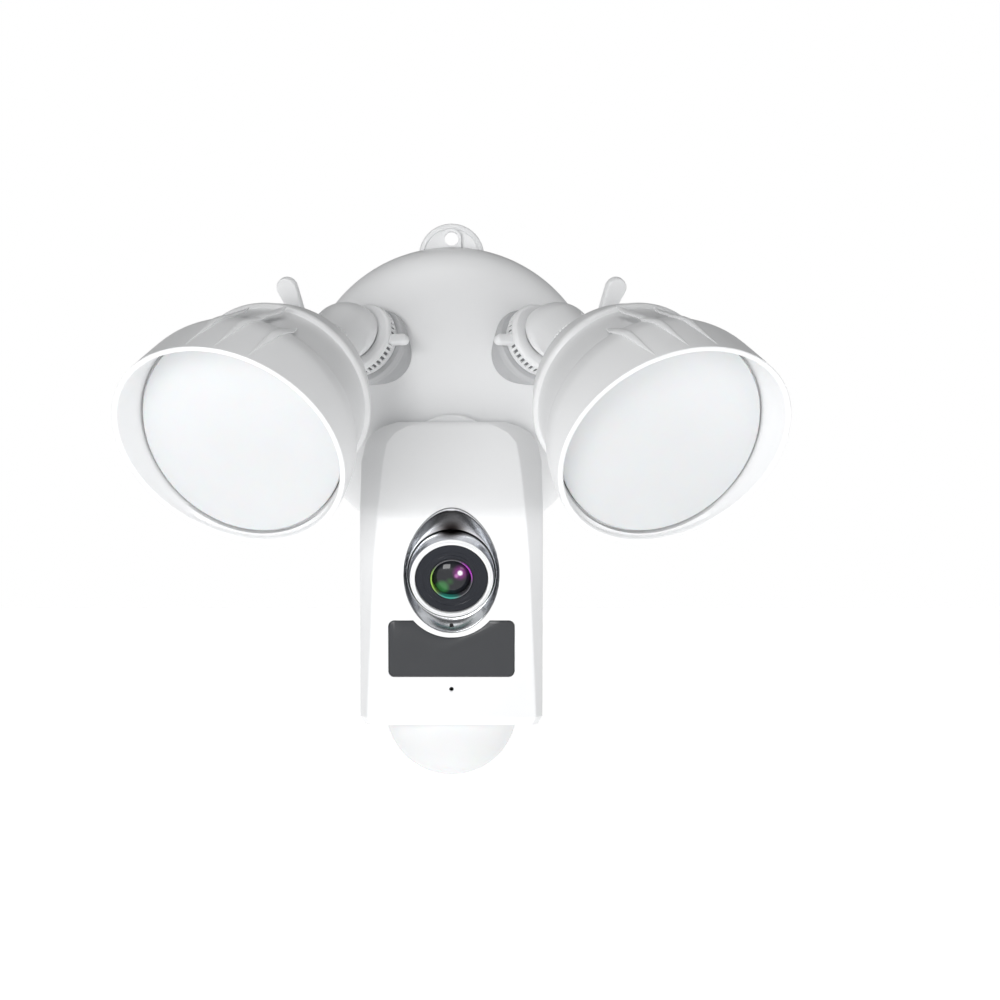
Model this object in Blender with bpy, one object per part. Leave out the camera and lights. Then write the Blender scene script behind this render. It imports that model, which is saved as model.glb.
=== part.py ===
"""Floodlight security camera: round wall canopy, camera housing with tilting eye,
motion-sensor dome and two LED lamp heads on elbow arms.

Frame: origin on the wall plane at the canopy centre, +Z up, +X to the viewer's right,
the wall at y = 0 and the front toward -Y.  Lengths below are millimetres and are
scaled to metres when a mesh is made.
"""
import math

import bmesh
import bpy
import numpy as np
from mathutils import Matrix, Vector

MM = 0.001
GAP = 0.3                      # clearance between touching pieces

# --- canopy ---------------------------------------------------------------
CANOPY_R = 76.4
CANOPY_WALL = 3.0
CANOPY_BACK = -2.8             # back rim, on the gasket
DOME = [(76.4, -2.8), (76.4, -14.0), (74.6, -22.0), (70.0, -30.0), (62.0, -37.0),
        (50.0, -43.2), (34.0, -47.4), (17.0, -49.4), (0.0, -50.0)]
LUG_R, LUG_AT, LUG_HOLE_R, LUG_HOLE_AT = 17.0, 72.3, 3.65, 81.2
LUG_CLOCK = (90.0, 210.0, 330.0)

# --- camera housing -------------------------------------------------------
SPLIT_Y = -60.0                # parting plane between front and rear halves
SIDE_X = 44.9
WALL = 2.5
FACE_Y, FACE_Z, FACE_SLOPE = -104.0, -60.0, 0.13      # lower face: y = FACE_Y + (FACE_Z - z) * slope
# level z: front face y, half width of the face, half width of the side
SECTIONS = [(-15.0, -67.0, 14.0, 27.0), (-17.2, -68.6, 22.0, 34.0), (-20.5, -71.0, 28.0, 39.5),
            (-25.5, -75.0, 32.2, 43.0), (-35.0, -82.6, 33.8, 44.9), (-47.0, -93.0, 35.0, 44.9),
            (-57.0, -102.2, 35.8, 44.9), (-63.0, -103.6, 36.4, 44.9), (-80.0, -101.4, 37.8, 44.9),
            (-107.0, -97.9, 39.2, 44.9), (-134.0, -94.4, 40.4, 44.9), (-160.5, -90.9, 41.6, 44.9),
            (-164.5, -88.4, 39.6, 42.9)]
REAR_Y = -12.0
BOTTOM_Z = -164.5

# --- eye --------------------------------------------------------------------
EYE = (0.0, -92.0, -89.5)
EYE_R = 21.5
EYE_DOWN = math.radians(21.0)
EGG_TOP, EGG_LOW, EGG_HALF = -58.2, -118.7, 23.2

# --- motion sensor dome ---------------------------------------------------------
PIR_Y, PIR_R, PIR_Z = -51.0, 33.0, -159.0

# --- lamp arms ------------------------------------------------------------------
SOCKET_FACE = np.array([46.8, -58.0, 27.7])           # outer face of the base nut
SOCKET_OFF, SOCKET_CLOCK = math.radians(42.0), math.radians(34.0)
ELBOW = SOCKET_FACE + 11.4 * np.array([math.sin(SOCKET_OFF) * math.cos(SOCKET_CLOCK),
                                       -math.cos(SOCKET_OFF),
                                       math.sin(SOCKET_OFF) * math.sin(SOCKET_CLOCK)])
HEAD_YAW, HEAD_PITCH = math.radians(22.7), math.radians(-25.5)
ARM_R = 14.0
BALL_AT = 33.0                 # lamp ball centre, from the elbow along the head axis
NECK, NECK_R = np.array([0.0, -44.0, -36.4]), 25.2   # round neck behind the housing's top
# cooling blades behind each hood: angle of the free edge, and the tip's depth and radius
BLADES = [(3.0, 100.0, 51.8), (19.0, 89.0, 50.3), (33.0, 105.0, 50.9)]
LENS_AT = 127.0                # front of the lens, from the elbow
RIM_AHEAD, RIM_TILT, RIM_R = 16.4, math.radians(15.6), 57.0


def start_empty():
    for ob in list(bpy.data.objects):
        bpy.data.objects.remove(ob)


# ------------------------------------------------------------------ materials
def material(name, colour, rough=0.45, metal=0.0, transmission=0.0, coat=0.0):
    mat = bpy.data.materials.get(name)
    if mat:
        return mat
    mat = bpy.data.materials.new(name)
    mat.use_nodes = True
    bsdf = mat.node_tree.nodes["Principled BSDF"]
    bsdf.inputs["Base Color"].default_value = (*colour, 1.0)
    bsdf.inputs["Roughness"].default_value = rough
    bsdf.inputs["Metallic"].default_value = metal
    bsdf.inputs["Transmission Weight"].default_value = transmission
    bsdf.inputs["Coat Weight"].default_value = coat
    mat.diffuse_color = (*colour, 1.0)
    return mat


def white():
    return material("white_plastic", (0.83, 0.83, 0.82), 0.35)


def grey():
    return material("grey_plastic", (0.42, 0.43, 0.44), 0.5)


def rubber():
    return material("black_rubber", (0.03, 0.03, 0.03), 0.8)


def silver():
    return material("silver_trim", (0.62, 0.63, 0.65), 0.25, metal=1.0)


def steel():
    return material("steel", (0.55, 0.56, 0.58), 0.3, metal=1.0)


def gloss_black():
    return material("gloss_black", (0.02, 0.021, 0.024), 0.08, coat=0.5)


def frosted():
    return material("frosted_lens", (0.78, 0.80, 0.82), 0.4, transmission=0.4)


def milky():
    return material("milky_dome", (0.85, 0.86, 0.87), 0.35, transmission=0.25)


def board_green():
    return material("circuit_board", (0.03, 0.16, 0.07), 0.5)


# ------------------------------------------------------------------ mesh helpers
def add(name, verts, faces, mat):
    """A named object from millimetre points, normals facing outward."""
    mesh = bpy.data.meshes.new(name)
    bm = bmesh.new()
    vs = [bm.verts.new((float(p[0]) * MM, float(p[1]) * MM, float(p[2]) * MM)) for p in verts]
    for f in faces:
        bm.faces.new([vs[i] for i in f])
    bmesh.ops.recalc_face_normals(bm, faces=bm.faces)
    bm.to_mesh(mesh)
    bm.free()
    mesh.materials.append(mat)
    mesh.shade_smooth()
    mesh.set_sharp_from_angle(angle=math.radians(35))
    ob = bpy.data.objects.new(name, mesh)
    bpy.context.scene.collection.objects.link(ob)
    return ob


def skin(rings, closed):
    """Faces joining equal rings; closed joins the last ring to the first, else ends are capped."""
    n, m = len(rings[0]), len(rings)
    verts = [p for ring in rings for p in ring]
    faces = []
    for j in range(m if closed else m - 1):
        a, b = j * n, ((j + 1) % m) * n
        faces += [(a + i, a + (i + 1) % n, b + (i + 1) % n, b + i) for i in range(n)]
    if not closed:
        faces += [tuple(range(n))[::-1], tuple((m - 1) * n + i for i in range(n))]
    return verts, faces


def axes(axis, up=(0.0, 0.0, 1.0)):
    """Right-hand triad (side, up, axis) about a direction."""
    a = np.array(axis, float) / np.linalg.norm(axis)
    side = np.cross(a, up)
    side /= np.linalg.norm(side)
    return side, np.cross(side, a), a


def lathe(name, profile, origin, axis, mat, seg=32, shift=None, wave=None, up=(0, 0, 1),
          phase=0.0):
    """Revolve (radius, along) points; a profile that starts and ends at radius 0 gets poles.

    shift(radius, along, angle) tilts a ring, wave(radius, index) changes alternate radii.
    The angle is measured from the up direction."""
    side, upv, a = axes(axis, up)
    origin = np.array(origin, float)
    poles = profile[0][0] == 0 and profile[-1][0] == 0
    body = profile[1:-1] if poles else profile
    rings = []
    for r, t in body:
        ring = []
        for i in range(seg):
            ang = 2 * math.pi * i / seg + phase
            rr = wave(r, i) if wave else r
            tt = t + (shift(r, t, ang) if shift else 0.0)
            ring.append(origin + a * tt + rr * (math.cos(ang) * upv + math.sin(ang) * side))
        rings.append(ring)
    if not poles:
        verts, faces = skin(rings, True)
        return add(name, verts, faces, mat)
    verts, faces = skin(rings, False)
    faces = faces[:-2]
    first, last = len(verts), len(verts) + 1
    verts = verts + [origin + a * profile[0][1], origin + a * profile[-1][1]]
    base = (len(rings) - 1) * seg
    faces += [(first, (i + 1) % seg, i) for i in range(seg)]
    faces += [(last, base + i, base + (i + 1) % seg) for i in range(seg)]
    return add(name, verts, faces, mat)


def prism(name, outline, origin, u, v, w0, w1, mat):
    """Extrude a 2-D outline (u, v) from w0 to w1 along u x v."""
    u, v = np.array(u, float), np.array(v, float)
    w = np.cross(u, v)
    origin = np.array(origin, float)
    rings = [[origin + p[0] * u + p[1] * v + h * w for p in outline] for h in (w0, w1)]
    verts, faces = skin(rings, False)
    return add(name, verts, faces, mat)


def block(name, low, high, mat, bevel=0.0):
    x0, y0, z0 = low
    x1, y1, z1 = high
    b = bevel
    outline = [(x0 + b, z0), (x1 - b, z0), (x1, z0 + b), (x1, z1 - b),
               (x1 - b, z1), (x0 + b, z1), (x0, z1 - b), (x0, z0 + b)]
    if b == 0:
        outline = [(x0, z0), (x1, z0), (x1, z1), (x0, z1)]
    return prism(name, outline, (0, 0, 0), (1, 0, 0), (0, 0, 1), -y0, -y1, mat)


def rod(name, start, end, radius, mat, seg=16):
    start, end = np.array(start, float), np.array(end, float)
    length = np.linalg.norm(end - start)
    up = (0, 0, 1) if abs(end[2] - start[2]) < 0.9 * length else (0, 1, 0)
    return lathe(name, [(0, 0), (radius, 0), (radius, length), (0, length)], start, end - start,
                 mat, seg, up=up, phase=0.11)


def joined(tools):
    """Several separate tools as one object."""
    bm = bmesh.new()
    for tool in tools:
        bm.from_mesh(tool.data)
    mesh = bpy.data.meshes.new("tools")
    bm.to_mesh(mesh)
    bm.free()
    for tool in tools:
        old = tool.data
        bpy.data.objects.remove(tool)
        bpy.data.meshes.remove(old)
    ob = bpy.data.objects.new("tools", mesh)
    bpy.context.scene.collection.objects.link(ob)
    return ob


def carve(target, tool, how="DIFFERENCE"):
    """Apply one exact Boolean and drop the tool."""
    mod = target.modifiers.new("cut", "BOOLEAN")
    mod.operation = how
    mod.solver = "EXACT"
    mod.object = tool
    deps = bpy.context.evaluated_depsgraph_get()
    mesh = bpy.data.meshes.new_from_object(target.evaluated_get(deps))
    target.modifiers.remove(mod)
    old = target.data
    name, mat = old.name, old.materials[0]
    target.data = mesh
    bpy.data.meshes.remove(old)
    mesh.name = name
    mesh.materials.clear()
    mesh.materials.append(mat)
    for poly in mesh.polygons:
        poly.material_index = 0
    tool_mesh = tool.data
    bpy.data.objects.remove(tool)
    bpy.data.meshes.remove(tool_mesh)
    return target


# ------------------------------------------------------------------ canopy
def dome_solid(name, grow, back=20.0):
    """The canopy's outside grown by an amount, closed at the back, for fitting other pieces."""
    prof = [(0.0, back)]
    prof.append((CANOPY_R + grow, back))
    prof += [(r + grow * 0.9 if r > 0 else 0.0, y - grow) for r, y in DOME[1:]]
    return lathe(name, [(r, -y) for r, y in prof], (0, 0, 0), (0, -1, 0), white(), 36)


def canopy():
    inner = [(r - CANOPY_WALL, y + CANOPY_WALL * (0.2 if r > 72 else 1.0)) for r, y in DOME[1:-1]]
    outside = [(0, 50.0)] + [(r, -y) for r, y in DOME[:-1]][::-1]
    inside = [(CANOPY_R - CANOPY_WALL, -CANOPY_BACK)] + [(r, -y) for r, y in inner] + [(0, 47.0)]
    shell = lathe("canopy_shell", outside + inside, (0, 0, 0), (0, -1, 0), white(), 36)
    bits = []
    for clock in LUG_CLOCK:
        c = math.radians(clock)
        d = np.array([math.cos(c), 0, math.sin(c)])
        ear = lathe("ear", [(0, 3.1), (LUG_R, 3.1), (LUG_R, 5.4), (LUG_R - 1.4, 6.6), (0, 6.6)],
                    d * LUG_AT, (0, -1, 0), white(), 24, phase=0.07)
        carve(shell, ear, "UNION")
        boss = lathe("boss", [(0, 3.7), (5.6, 3.7), (5.6, 8.6), (4.6, 9.3), (0, 9.3)],
                     d * LUG_HOLE_AT, (0, -1, 0), white(), 12, phase=0.2)
        carve(shell, boss, "UNION")
        bits.append(rod("bit", d * LUG_HOLE_AT + (0, 1, 0), d * LUG_HOLE_AT + (0, -14, 0),
                        LUG_HOLE_R, white(), 12))
    for sx in (-1, 1):
        carve(shell, rod("post", (sx * 40, -44.5, 0), (sx * 40, -5.0, 0), 4.0, white(), 8), "UNION")
        bits.append(rod("bit", (sx * 40, -12.0, 0), (sx * 40, -4.0, 0), 1.8, white(), 8))
        f, s = socket_face(sx), socket_axis(sx)
        bits.append(rod("bit", f - 40 * s, f, 15.3, white(), 20))
    bits.append(rod("bit", (0, -52, -42), (0, -36, -42), 7.0, white(), 12))
    return carve(shell, joined(bits))


def canopy_parts():
    lathe("wall_gasket", [(71.5, 0), (75.8, 0), (75.8, 2.5), (71.5, 2.5)], (0, 0, 0), (0, -1, 0),
          rubber(), 32)
    bar = block("mounting_bracket", (-52, -4.6, -12), (52, -2.6, 12), steel(), 3.0)
    for x in (-40, 40):
        carve(bar, rod("bit", (x, -6, 0), (x, -1, 0), 2.0, steel(), 8))
    for x in (-22, 22):
        carve(bar, block("bit", (x - 6, -6, -2.4), (x + 6, -1, 2.4), steel()))
    for k, x in enumerate((-40, 40)):
        lathe(f"bracket_screw_{k + 1}",
              [(0, 0.4), (3.6, 0.4), (3.6, 2.3), (1.6, 2.3), (1.6, 10.0), (0, 10.0)],
              (x, 0, 0), (0, -1, 0), steel(), 8)
    block("led_driver", (-28, -24, 24), (28, -6, 52), grey(), 2.0)
    block("terminal_block", (-20, -20, -34), (20, -8, -20), grey(), 1.0)
    lathe("wire_grommet", [(5.0, 34.6), (9.0, 34.6), (9.0, 36.8), (6.4, 36.8), (6.4, 47.5), (5.0, 47.5)],
          (0, 0, -42), (0, -1, 0), rubber(), 12)


# ------------------------------------------------------------------ camera housing
def section(z, yf, fx, sx, back, inset=0.0):
    """One level of the housing: flat face, slanted facet each side, straight side to the back."""
    fd = 15.0 - 5.0 * min(1.0, max(0.0, (-35.0 - z) / 125.0))
    sx, fx, yf = sx - inset, fx - inset * 0.8, yf + inset
    edge = min(yf + fd, back - 2.0)
    return [(-sx, back, z), (-sx, edge, z), (-fx, yf, z), (fx, yf, z), (sx, edge, z), (sx, back, z)]


def housing_front():
    rings = [section(z, yf, fx, sx, SPLIT_Y) for z, yf, fx, sx in SECTIONS]
    verts, faces = skin(rings, False)
    front = add("housing_front", verts, faces, white())
    levels = [(-17.5, -66.5, 16.0, 26.0)] + [s for s in SECTIONS[2:-2]] + [(-162.0, -90.0, 40.0, 43.0)]
    verts, faces = skin([section(z, yf, fx, sx, SPLIT_Y + 12, WALL) for z, yf, fx, sx in levels], False)
    carve(front, add("tool", verts, faces, white()))
    carve(front, egg_prism("tool", 0.3, -9.0, 9.0))
    o, u, v = face_frame()
    carve(front, prism("tool", window_outline(0.3), o, u, v, -9, 9, white()))
    carve(front, rod("tool", (0, -98, -147.3), (0, -84, -145.5), 1.1, white(), 12))
    carve(front, pir_hole())
    return front


def face_frame():
    """Lower face: origin at its top edge, u right, v up the face (u x v points outward)."""
    n = math.hypot(1.0, FACE_SLOPE)
    return (0, FACE_Y, FACE_Z), (1, 0, 0), (0, -FACE_SLOPE / n, 1.0 / n)


def on_face(x, z, out=0.0):
    """Point at world x, z on the lower face, moved outward."""
    n = math.hypot(1.0, FACE_SLOPE)
    return np.array([x, FACE_Y + (FACE_Z - z) * FACE_SLOPE - out / n, z - out * FACE_SLOPE / n])


def eye_foot():
    """Height on the lower face straight out from the eye's centre."""
    n = math.hypot(1.0, FACE_SLOPE)
    deep = ((EYE[1] - FACE_Y) - (FACE_Z - EYE[2]) * FACE_SLOPE) / n
    return EYE[2] - deep * FACE_SLOPE / n


def egg(grow=0.0, count=28):
    """Outline (x, z) of the recess: a round lower part drawn up to a narrower top."""
    mid, pts = -90.5, []
    for i in range(count):
        a = 2 * math.pi * i / count
        c, s = math.cos(a), math.sin(a)
        h = (EGG_TOP - mid) if s > 0 else (mid - EGG_LOW)
        wide = EGG_HALF * (1.0 - (0.10 * s * s if s > 0 else 0.0))
        pts.append(((wide + grow) * c, mid + (h + grow) * s))
    return pts


def egg_prism(name, grow, low, high):
    pts = egg(grow)
    rings = [[on_face(x, z, w) for x, z in pts] for w in (low, high)]
    verts, faces = skin(rings, False)
    return add(name, verts, faces, white())


def window_outline(grow=0.0, steps=8):
    """Rounded window with a round notch in its top edge, as (u, v) on the face."""
    half, top, low, r = 30.7 + grow, -113.0 + grow, -140.4 - grow, 3.0
    notch_r, notch_z = 25.2 - grow, -96.2
    n = math.hypot(1.0, FACE_SLOPE)
    pts = []
    for cx, cz, a0 in ((half - r, low + r, -90), (half - r, top - r, 0)):
        pts += [(cx + r * math.cos(math.radians(a0 + 30 * k)), cz + r * math.sin(math.radians(a0 + 30 * k)))
                for k in range(4)]
    reach = math.acos(max(-1.0, min(1.0, (notch_z - top) / notch_r)))
    for k in range(steps + 1):
        a = reach - 2 * reach * k / steps
        pts.append((notch_r * math.sin(a), notch_z - notch_r * math.cos(a)))
    for cx, cz, a0 in ((-half + r, top - r, 90), (-half + r, low + r, 180)):
        pts += [(cx + r * math.cos(math.radians(a0 + 30 * k)), cz + r * math.sin(math.radians(a0 + 30 * k)))
                for k in range(4)]
    return [(x, (z - FACE_Z) * n) for x, z in pts]


def pir_hole():
    return rod("tool", (0, PIR_Y, -175), (0, PIR_Y, -158), PIR_R + GAP, white(), 24)


def rear_section(z, sx, back, inset=0.0):
    sx = sx - inset
    c = 10.0
    return [(-sx, SPLIT_Y + GAP, z), (sx, SPLIT_Y + GAP, z), (sx, back - c, z), (sx - c, back, z),
            (-sx + c, back, z), (-sx, back - c, z)]


def housing_rear():
    rings = [rear_section(z, sx, REAR_Y) for z, yf, fx, sx in SECTIONS]
    verts, faces = skin(rings, False)
    rear = add("housing_rear", verts, faces, white())
    carve(rear, rod("tool", NECK + (0, -59.2 - NECK[1], 0), NECK, NECK_R, white(), 30), "UNION")
    carve(rear, dome_solid("tool", GAP))
    levels = [(-18.0, 30.0)] + [(z, sx) for z, yf, fx, sx in SECTIONS[2:-2]] + [(-162.0, 42.9)]
    rings = []
    for z, sx in levels:
        sx -= WALL
        c = 9.0
        rings.append([(-sx, SPLIT_Y - 8, z), (sx, SPLIT_Y - 8, z), (sx, REAR_Y - WALL - c, z),
                      (sx - c, REAR_Y - WALL, z), (-sx + c, REAR_Y - WALL, z), (-sx, REAR_Y - WALL - c, z)])
    verts, faces = skin(rings, False)
    hollow = add("tool", verts, faces, white())
    carve(hollow, dome_solid("tool2", 2.8))
    carve(rear, hollow)
    carve(rear, rod("tool", (0, -62, -42), (0, -36, -42), 7.0, white(), 12))
    carve(rear, pir_hole())
    carve(rear, rod("tool", (12, -20, -125), (12, -8, -125), 3.3, white(), 16))
    carve(rear, block("tool", (-24.3, -20, -134.3), (-3.7, -8, -115.7), white()))
    return rear


def housing_parts():
    o, u, v = face_frame()
    # silver egg dish around the eye
    outline = egg(0.0)
    foot = eye_foot()

    def ring(mix, out, radius):
        pts = []
        for x, z in outline:
            d = np.array([x, z - foot])
            circ = d / np.linalg.norm(d) * radius
            p = (1 - mix) * np.array([x, z]) + mix * np.array([circ[0], circ[1] + foot])
            pts.append(on_face(p[0], p[1], out))
        return pts
    rings = [ring(0.0, 0.2, 21.7), ring(0.06, 0.2, 21.7), ring(0.12, -0.8, 21.7), ring(0.55, -3.6, 21.7),
             ring(1.0, -5.0, 21.75), ring(1.0, -6.4, 22.4), ring(0.5, -5.4, 22.4), ring(0.0, -3.6, 22.4)]
    verts, faces = skin(rings, True)
    add("eye_bezel", verts, faces, silver())
    prism("ir_window", window_outline(0.0), o, u, v, -2.4, -0.2, gloss_black())
    prism("ir_led_board", [(-26, -78), (26, -78), (26, -66), (-26, -66)], o, u, v, -5.6, -4.0, board_green())
    block("main_board", (-36, -54.0, -150), (36, -52.4, -84), board_green(), 2.0)
    lathe("speaker", [(0, 0), (13, 0), (13, 5), (6, 8), (0, 8)], (22, -36, -108), (0, -1, 0), grey(), 14)
    block("antenna", (-40, -50, -82), (-38, -38, -62), steel())
    lathe("microphone", [(0, 0), (3.0, 0), (3.0, 3.0), (0, 3.0)], (0, -82.5, -146.6), (0, -1, 0), steel(), 8)
    # dome: sphere below the bottom plane, a flange kept inside
    prof = []
    for k in range(6):
        a = math.radians(12 + (90 - 12) * k / 5)
        prof.append((PIR_R * math.cos(a), PIR_Z - PIR_R * math.sin(a)))
    inn = []
    for k in range(5):
        a = math.radians(90 - (90 - 12) * k / 4)
        inn.append(((PIR_R - 1.8) * math.cos(a), PIR_Z - (PIR_R - 1.8) * math.sin(a)))
    prof[-1] = (0.0, prof[-1][1])
    inn[0] = (0.0, inn[0][1])
    loop = [(0.0, prof[-1][1])] + prof[::-1][1:] + [(PIR_R - 0.3, -161.7), (35.0, -161.7), (35.0, -160.0),
            (30.5, -160.0)] + inn[::-1][:-1] + [(0.0, inn[0][1])]
    lathe("pir_dome", loop, (0, PIR_Y, 0), (0, 0, 1), milky(), 24, up=(0, -1, 0))
    lathe("pir_board", [(0, -156.0), (18, -156.0), (18, -154.6), (0, -154.6)], (0, PIR_Y, 0), (0, 0, 1),
          board_green(), 12, up=(0, -1, 0))
    lathe("pir_sensor", [(0, -161.0), (4.6, -161.0), (4.6, -156.3), (0, -156.3)], (0, PIR_Y, 0), (0, 0, 1),
          steel(), 10, up=(0, -1, 0))
    block("port_cover", (-24, -14.3, -134), (-4, -11.4, -116), grey(), 1.5)
    lathe("reset_button", [(0, 11.0), (3.0, 11.0), (3.0, 14.8), (4.4, 14.8), (4.4, 17.0), (0, 17.0)],
          (12, 0, -125), (0, -1, 0), grey(), 12)


# ------------------------------------------------------------------ eye
def eye_parts():
    a = (0, -math.cos(EYE_DOWN), -math.sin(EYE_DOWN))
    prof = []
    for k in range(6):
        ang = math.radians(-58 + (20.3 + 58) * k / 5)
        prof.append((EYE_R * math.cos(ang), EYE_R * math.sin(ang)))
    inner = []
    for k in range(5):
        ang = math.radians(18 + (-58 - 18) * k / 4)
        inner.append((19.0 * math.cos(ang), 19.0 * math.sin(ang)))
    prof += [(19.4, 8.9), (18.2, 9.0), (17.8, 8.4), (17.8, 5.9)]
    lathe("eye_shell", prof + inner, EYE, a, white(), 24)
    lathe("eye_face", [(10.6, 5.9), (17.5, 5.9), (17.5, 8.0), (10.6, 8.6)], EYE, a, gloss_black(), 24)
    lathe("lens_barrel", [(9.6, -2.0), (10.3, -2.0), (10.3, 8.9), (9.9, 9.2), (9.6, 8.4)],
          EYE, a, gloss_black(), 20)
    lathe("lens_glass", [(0, 4.2), (9.3, 4.2), (9.3, 6.0), (6.8, 7.5), (3.6, 8.4), (0, 8.7)],
          EYE, a, material("coated_glass", (0.05, 0.07, 0.08), 0.02, coat=1.0), 20)
    side, up, ax = axes(a)
    o = np.array(EYE) - 4.2 * ax
    prism("sensor_board", [(-10, -10), (10, -10), (10, 10), (-10, 10)], o, side, up, -0.8, 0.8, board_green())
    for k, sgn in enumerate((-1, 1)):
        rod(f"eye_pivot_{'lr'[k]}", (sgn * 21.85, EYE[1], EYE[2]), (sgn * 27.5, EYE[1], EYE[2]),
            1.4, steel(), 8)


# ------------------------------------------------------------------ lamps
def socket_axis(sgn):
    return np.array([sgn * math.sin(SOCKET_OFF) * math.cos(SOCKET_CLOCK), -math.cos(SOCKET_OFF),
                     math.sin(SOCKET_OFF) * math.sin(SOCKET_CLOCK)])


def socket_face(sgn):
    return SOCKET_FACE * np.array([sgn, 1, 1])


def elbow(sgn):
    return ELBOW * np.array([sgn, 1, 1])


def head_axis(sgn):
    return np.array([sgn * math.sin(HEAD_YAW) * math.cos(HEAD_PITCH),
                     -math.cos(HEAD_YAW) * math.cos(HEAD_PITCH), math.sin(HEAD_PITCH)])


def socket(sgn, side):
    f, s = socket_face(sgn), socket_axis(sgn)
    cup = lathe(f"socket_{side}",
                [(0, -27), (15.0, -27), (15.0, -3.2), (12.9, -3.2), (12.9, -24.8), (0, -24.8)],
                f, s, grey(), 20)
    ring = lathe("ring", [(13.6, -30), (15.2, -30), (16.0, -23.0), (20.3, -14.0), (20.3, -12.0),
                          (19.6, -10.3), (13.6, -10.3)], f, s, grey(), 20)
    carve(ring, dome_solid("tool", GAP))
    carve(cup, ring, "UNION")
    return cup


def knurl(depth, above):
    return lambda r, i: r - depth if (r > above and i % 2) else r


def base_nut(sgn, side):
    f, s = socket_face(sgn), socket_axis(sgn)
    nut = lathe(f"arm_nut_{side}", [(15.4, -10.0), (16.9, -10.0), (16.9, -6.8), (18.5, -6.2), (18.5, -1.2),
                                     (17.0, 0), (11.6, 0), (11.6, -2.8), (15.4, -2.8)],
                f, s, white(), 24, wave=knurl(0.7, 18.0))
    d = np.array([-sgn * 0.801, -0.598, 0.0])
    d -= s * d.dot(s)
    d /= np.linalg.norm(d)
    e = np.cross(s, d)
    tab = prism("tab", [(16.0, -2.5), (25.4, -2.5), (27.0, -1.6), (27.6, 0), (27.0, 1.6), (25.4, 2.5),
                        (16.0, 2.5)], f, d, e, -7.4, -2.5, white())
    carve(nut, tab, "UNION")
    return nut


def arm(sgn, side):
    """Ball in the canopy socket, narrow neck, bent tube, open cup for the lamp ball."""
    s, h, f, e = socket_axis(sgn), head_axis(sgn), socket_face(sgn), elbow(sgn)
    bend = math.acos(float(s.dot(h)))
    radius = 14.6
    reach = radius * math.tan(bend / 2)
    normal = np.cross(s, h)
    normal /= np.linalg.norm(normal)
    rings = []

    def put(centre, direction, r, seg=16):
        d = direction / np.linalg.norm(direction)
        x = normal
        y = np.cross(d, x)
        rings.append([centre + r * (math.cos(2 * math.pi * i / seg) * x + math.sin(2 * math.pi * i / seg) * y)
                      for i in range(seg)])
    ball = f - 12.0 * s
    for deg in (-68, -34, 0, 30):
        a = math.radians(deg)
        put(ball + 12.5 * math.sin(a) * s, s, 12.5 * math.cos(a))
    put(f - 1.6 * s, s, 8.8)
    put(f + 1.6 * s, s, 12.6)
    put(f + 2.8 * s, s, ARM_R)
    start = e - reach * s
    centre = start + radius * (h - s * h.dot(s)) / np.linalg.norm(h - s * h.dot(s))
    arm0 = start - centre
    for k in range(5):
        a = bend * k / 4
        d = math.cos(a) * s + math.sin(a) * np.cross(normal, s)
        rot = math.cos(a) * arm0 + math.sin(a) * np.cross(normal, arm0)
        put(centre + rot, d, ARM_R)
    put(e + (BALL_AT + 0.5) * h, h, ARM_R)
    verts, faces = skin(rings, False)
    tube = add(f"elbow_arm_{side}", verts, faces, white())
    b = e + BALL_AT * h
    cav = [(0, -12.3)]
    for deg in (-60, -35, -12):
        cav.append((12.3 * math.cos(math.radians(deg)), 12.3 * math.sin(math.radians(deg))))
    cav += [(12.3, 0.0), (12.3, 6.0), (0, 6.0)]
    carve(tube, lathe("tool", cav, b, h, white(), 16))
    return tube


def ball_seat(sgn, side):
    h = head_axis(sgn)
    b = elbow(sgn) + BALL_AT * h
    out, inn = [(0, -11.5)], []
    for deg in (-55, -20):
        a = math.radians(deg)
        out.append((11.5 * math.cos(a), 11.5 * math.sin(a)))
    for deg in (0, -22, -45, -68):
        a = math.radians(deg)
        inn.append((9.9 * math.cos(a), 9.9 * math.sin(a)))
    prof = out + [(11.5, 0.0), (11.5, 2.2), (9.95, 2.2)] + inn + [(0, -9.9)]
    return lathe(f"ball_seat_{side}", prof, b, h, grey(), 16)


def lamp_nut(sgn, side):
    h = head_axis(sgn)
    e = elbow(sgn)
    nut = lathe(f"lamp_nut_{side}", [(14.5, 30.0), (17.2, 30.0), (18.0, 31.0), (18.0, 39.6), (16.6, 41.0),
                                      (8.8, 41.0), (8.8, 37.4), (13.0, 35.9), (14.5, 34.4)],
                e, h, white(), 24, wave=knurl(0.6, 17.8))
    sidev, up, a = axes(h)
    # paddle lever, standing off the nut up and slightly outward
    lean = math.radians(14.0) * sgn
    d = math.cos(lean) * up + math.sin(lean) * np.array([1.0, 0, 0])
    d -= a * d.dot(a)
    d /= np.linalg.norm(d)
    w = np.cross(a, d)
    outline = [(-4.0, 16.6), (-3.6, 25.0), (-5.2, 37.5), (-4.2, 40.9), (-1.8, 42.5), (1.8, 42.5),
               (4.2, 40.9), (5.2, 37.5), (3.6, 25.0), (4.0, 16.6)]
    lever = prism("lever", outline, e, w, d, -39.0, -35.0, white())
    carve(nut, lever, "UNION")
    return nut


def rim_shift(amount):
    """Tilt of a ring: full at the top of the lamp, reversed at the bottom."""
    return lambda r, t, ang: amount(r, t) * math.cos(ang)


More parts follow.
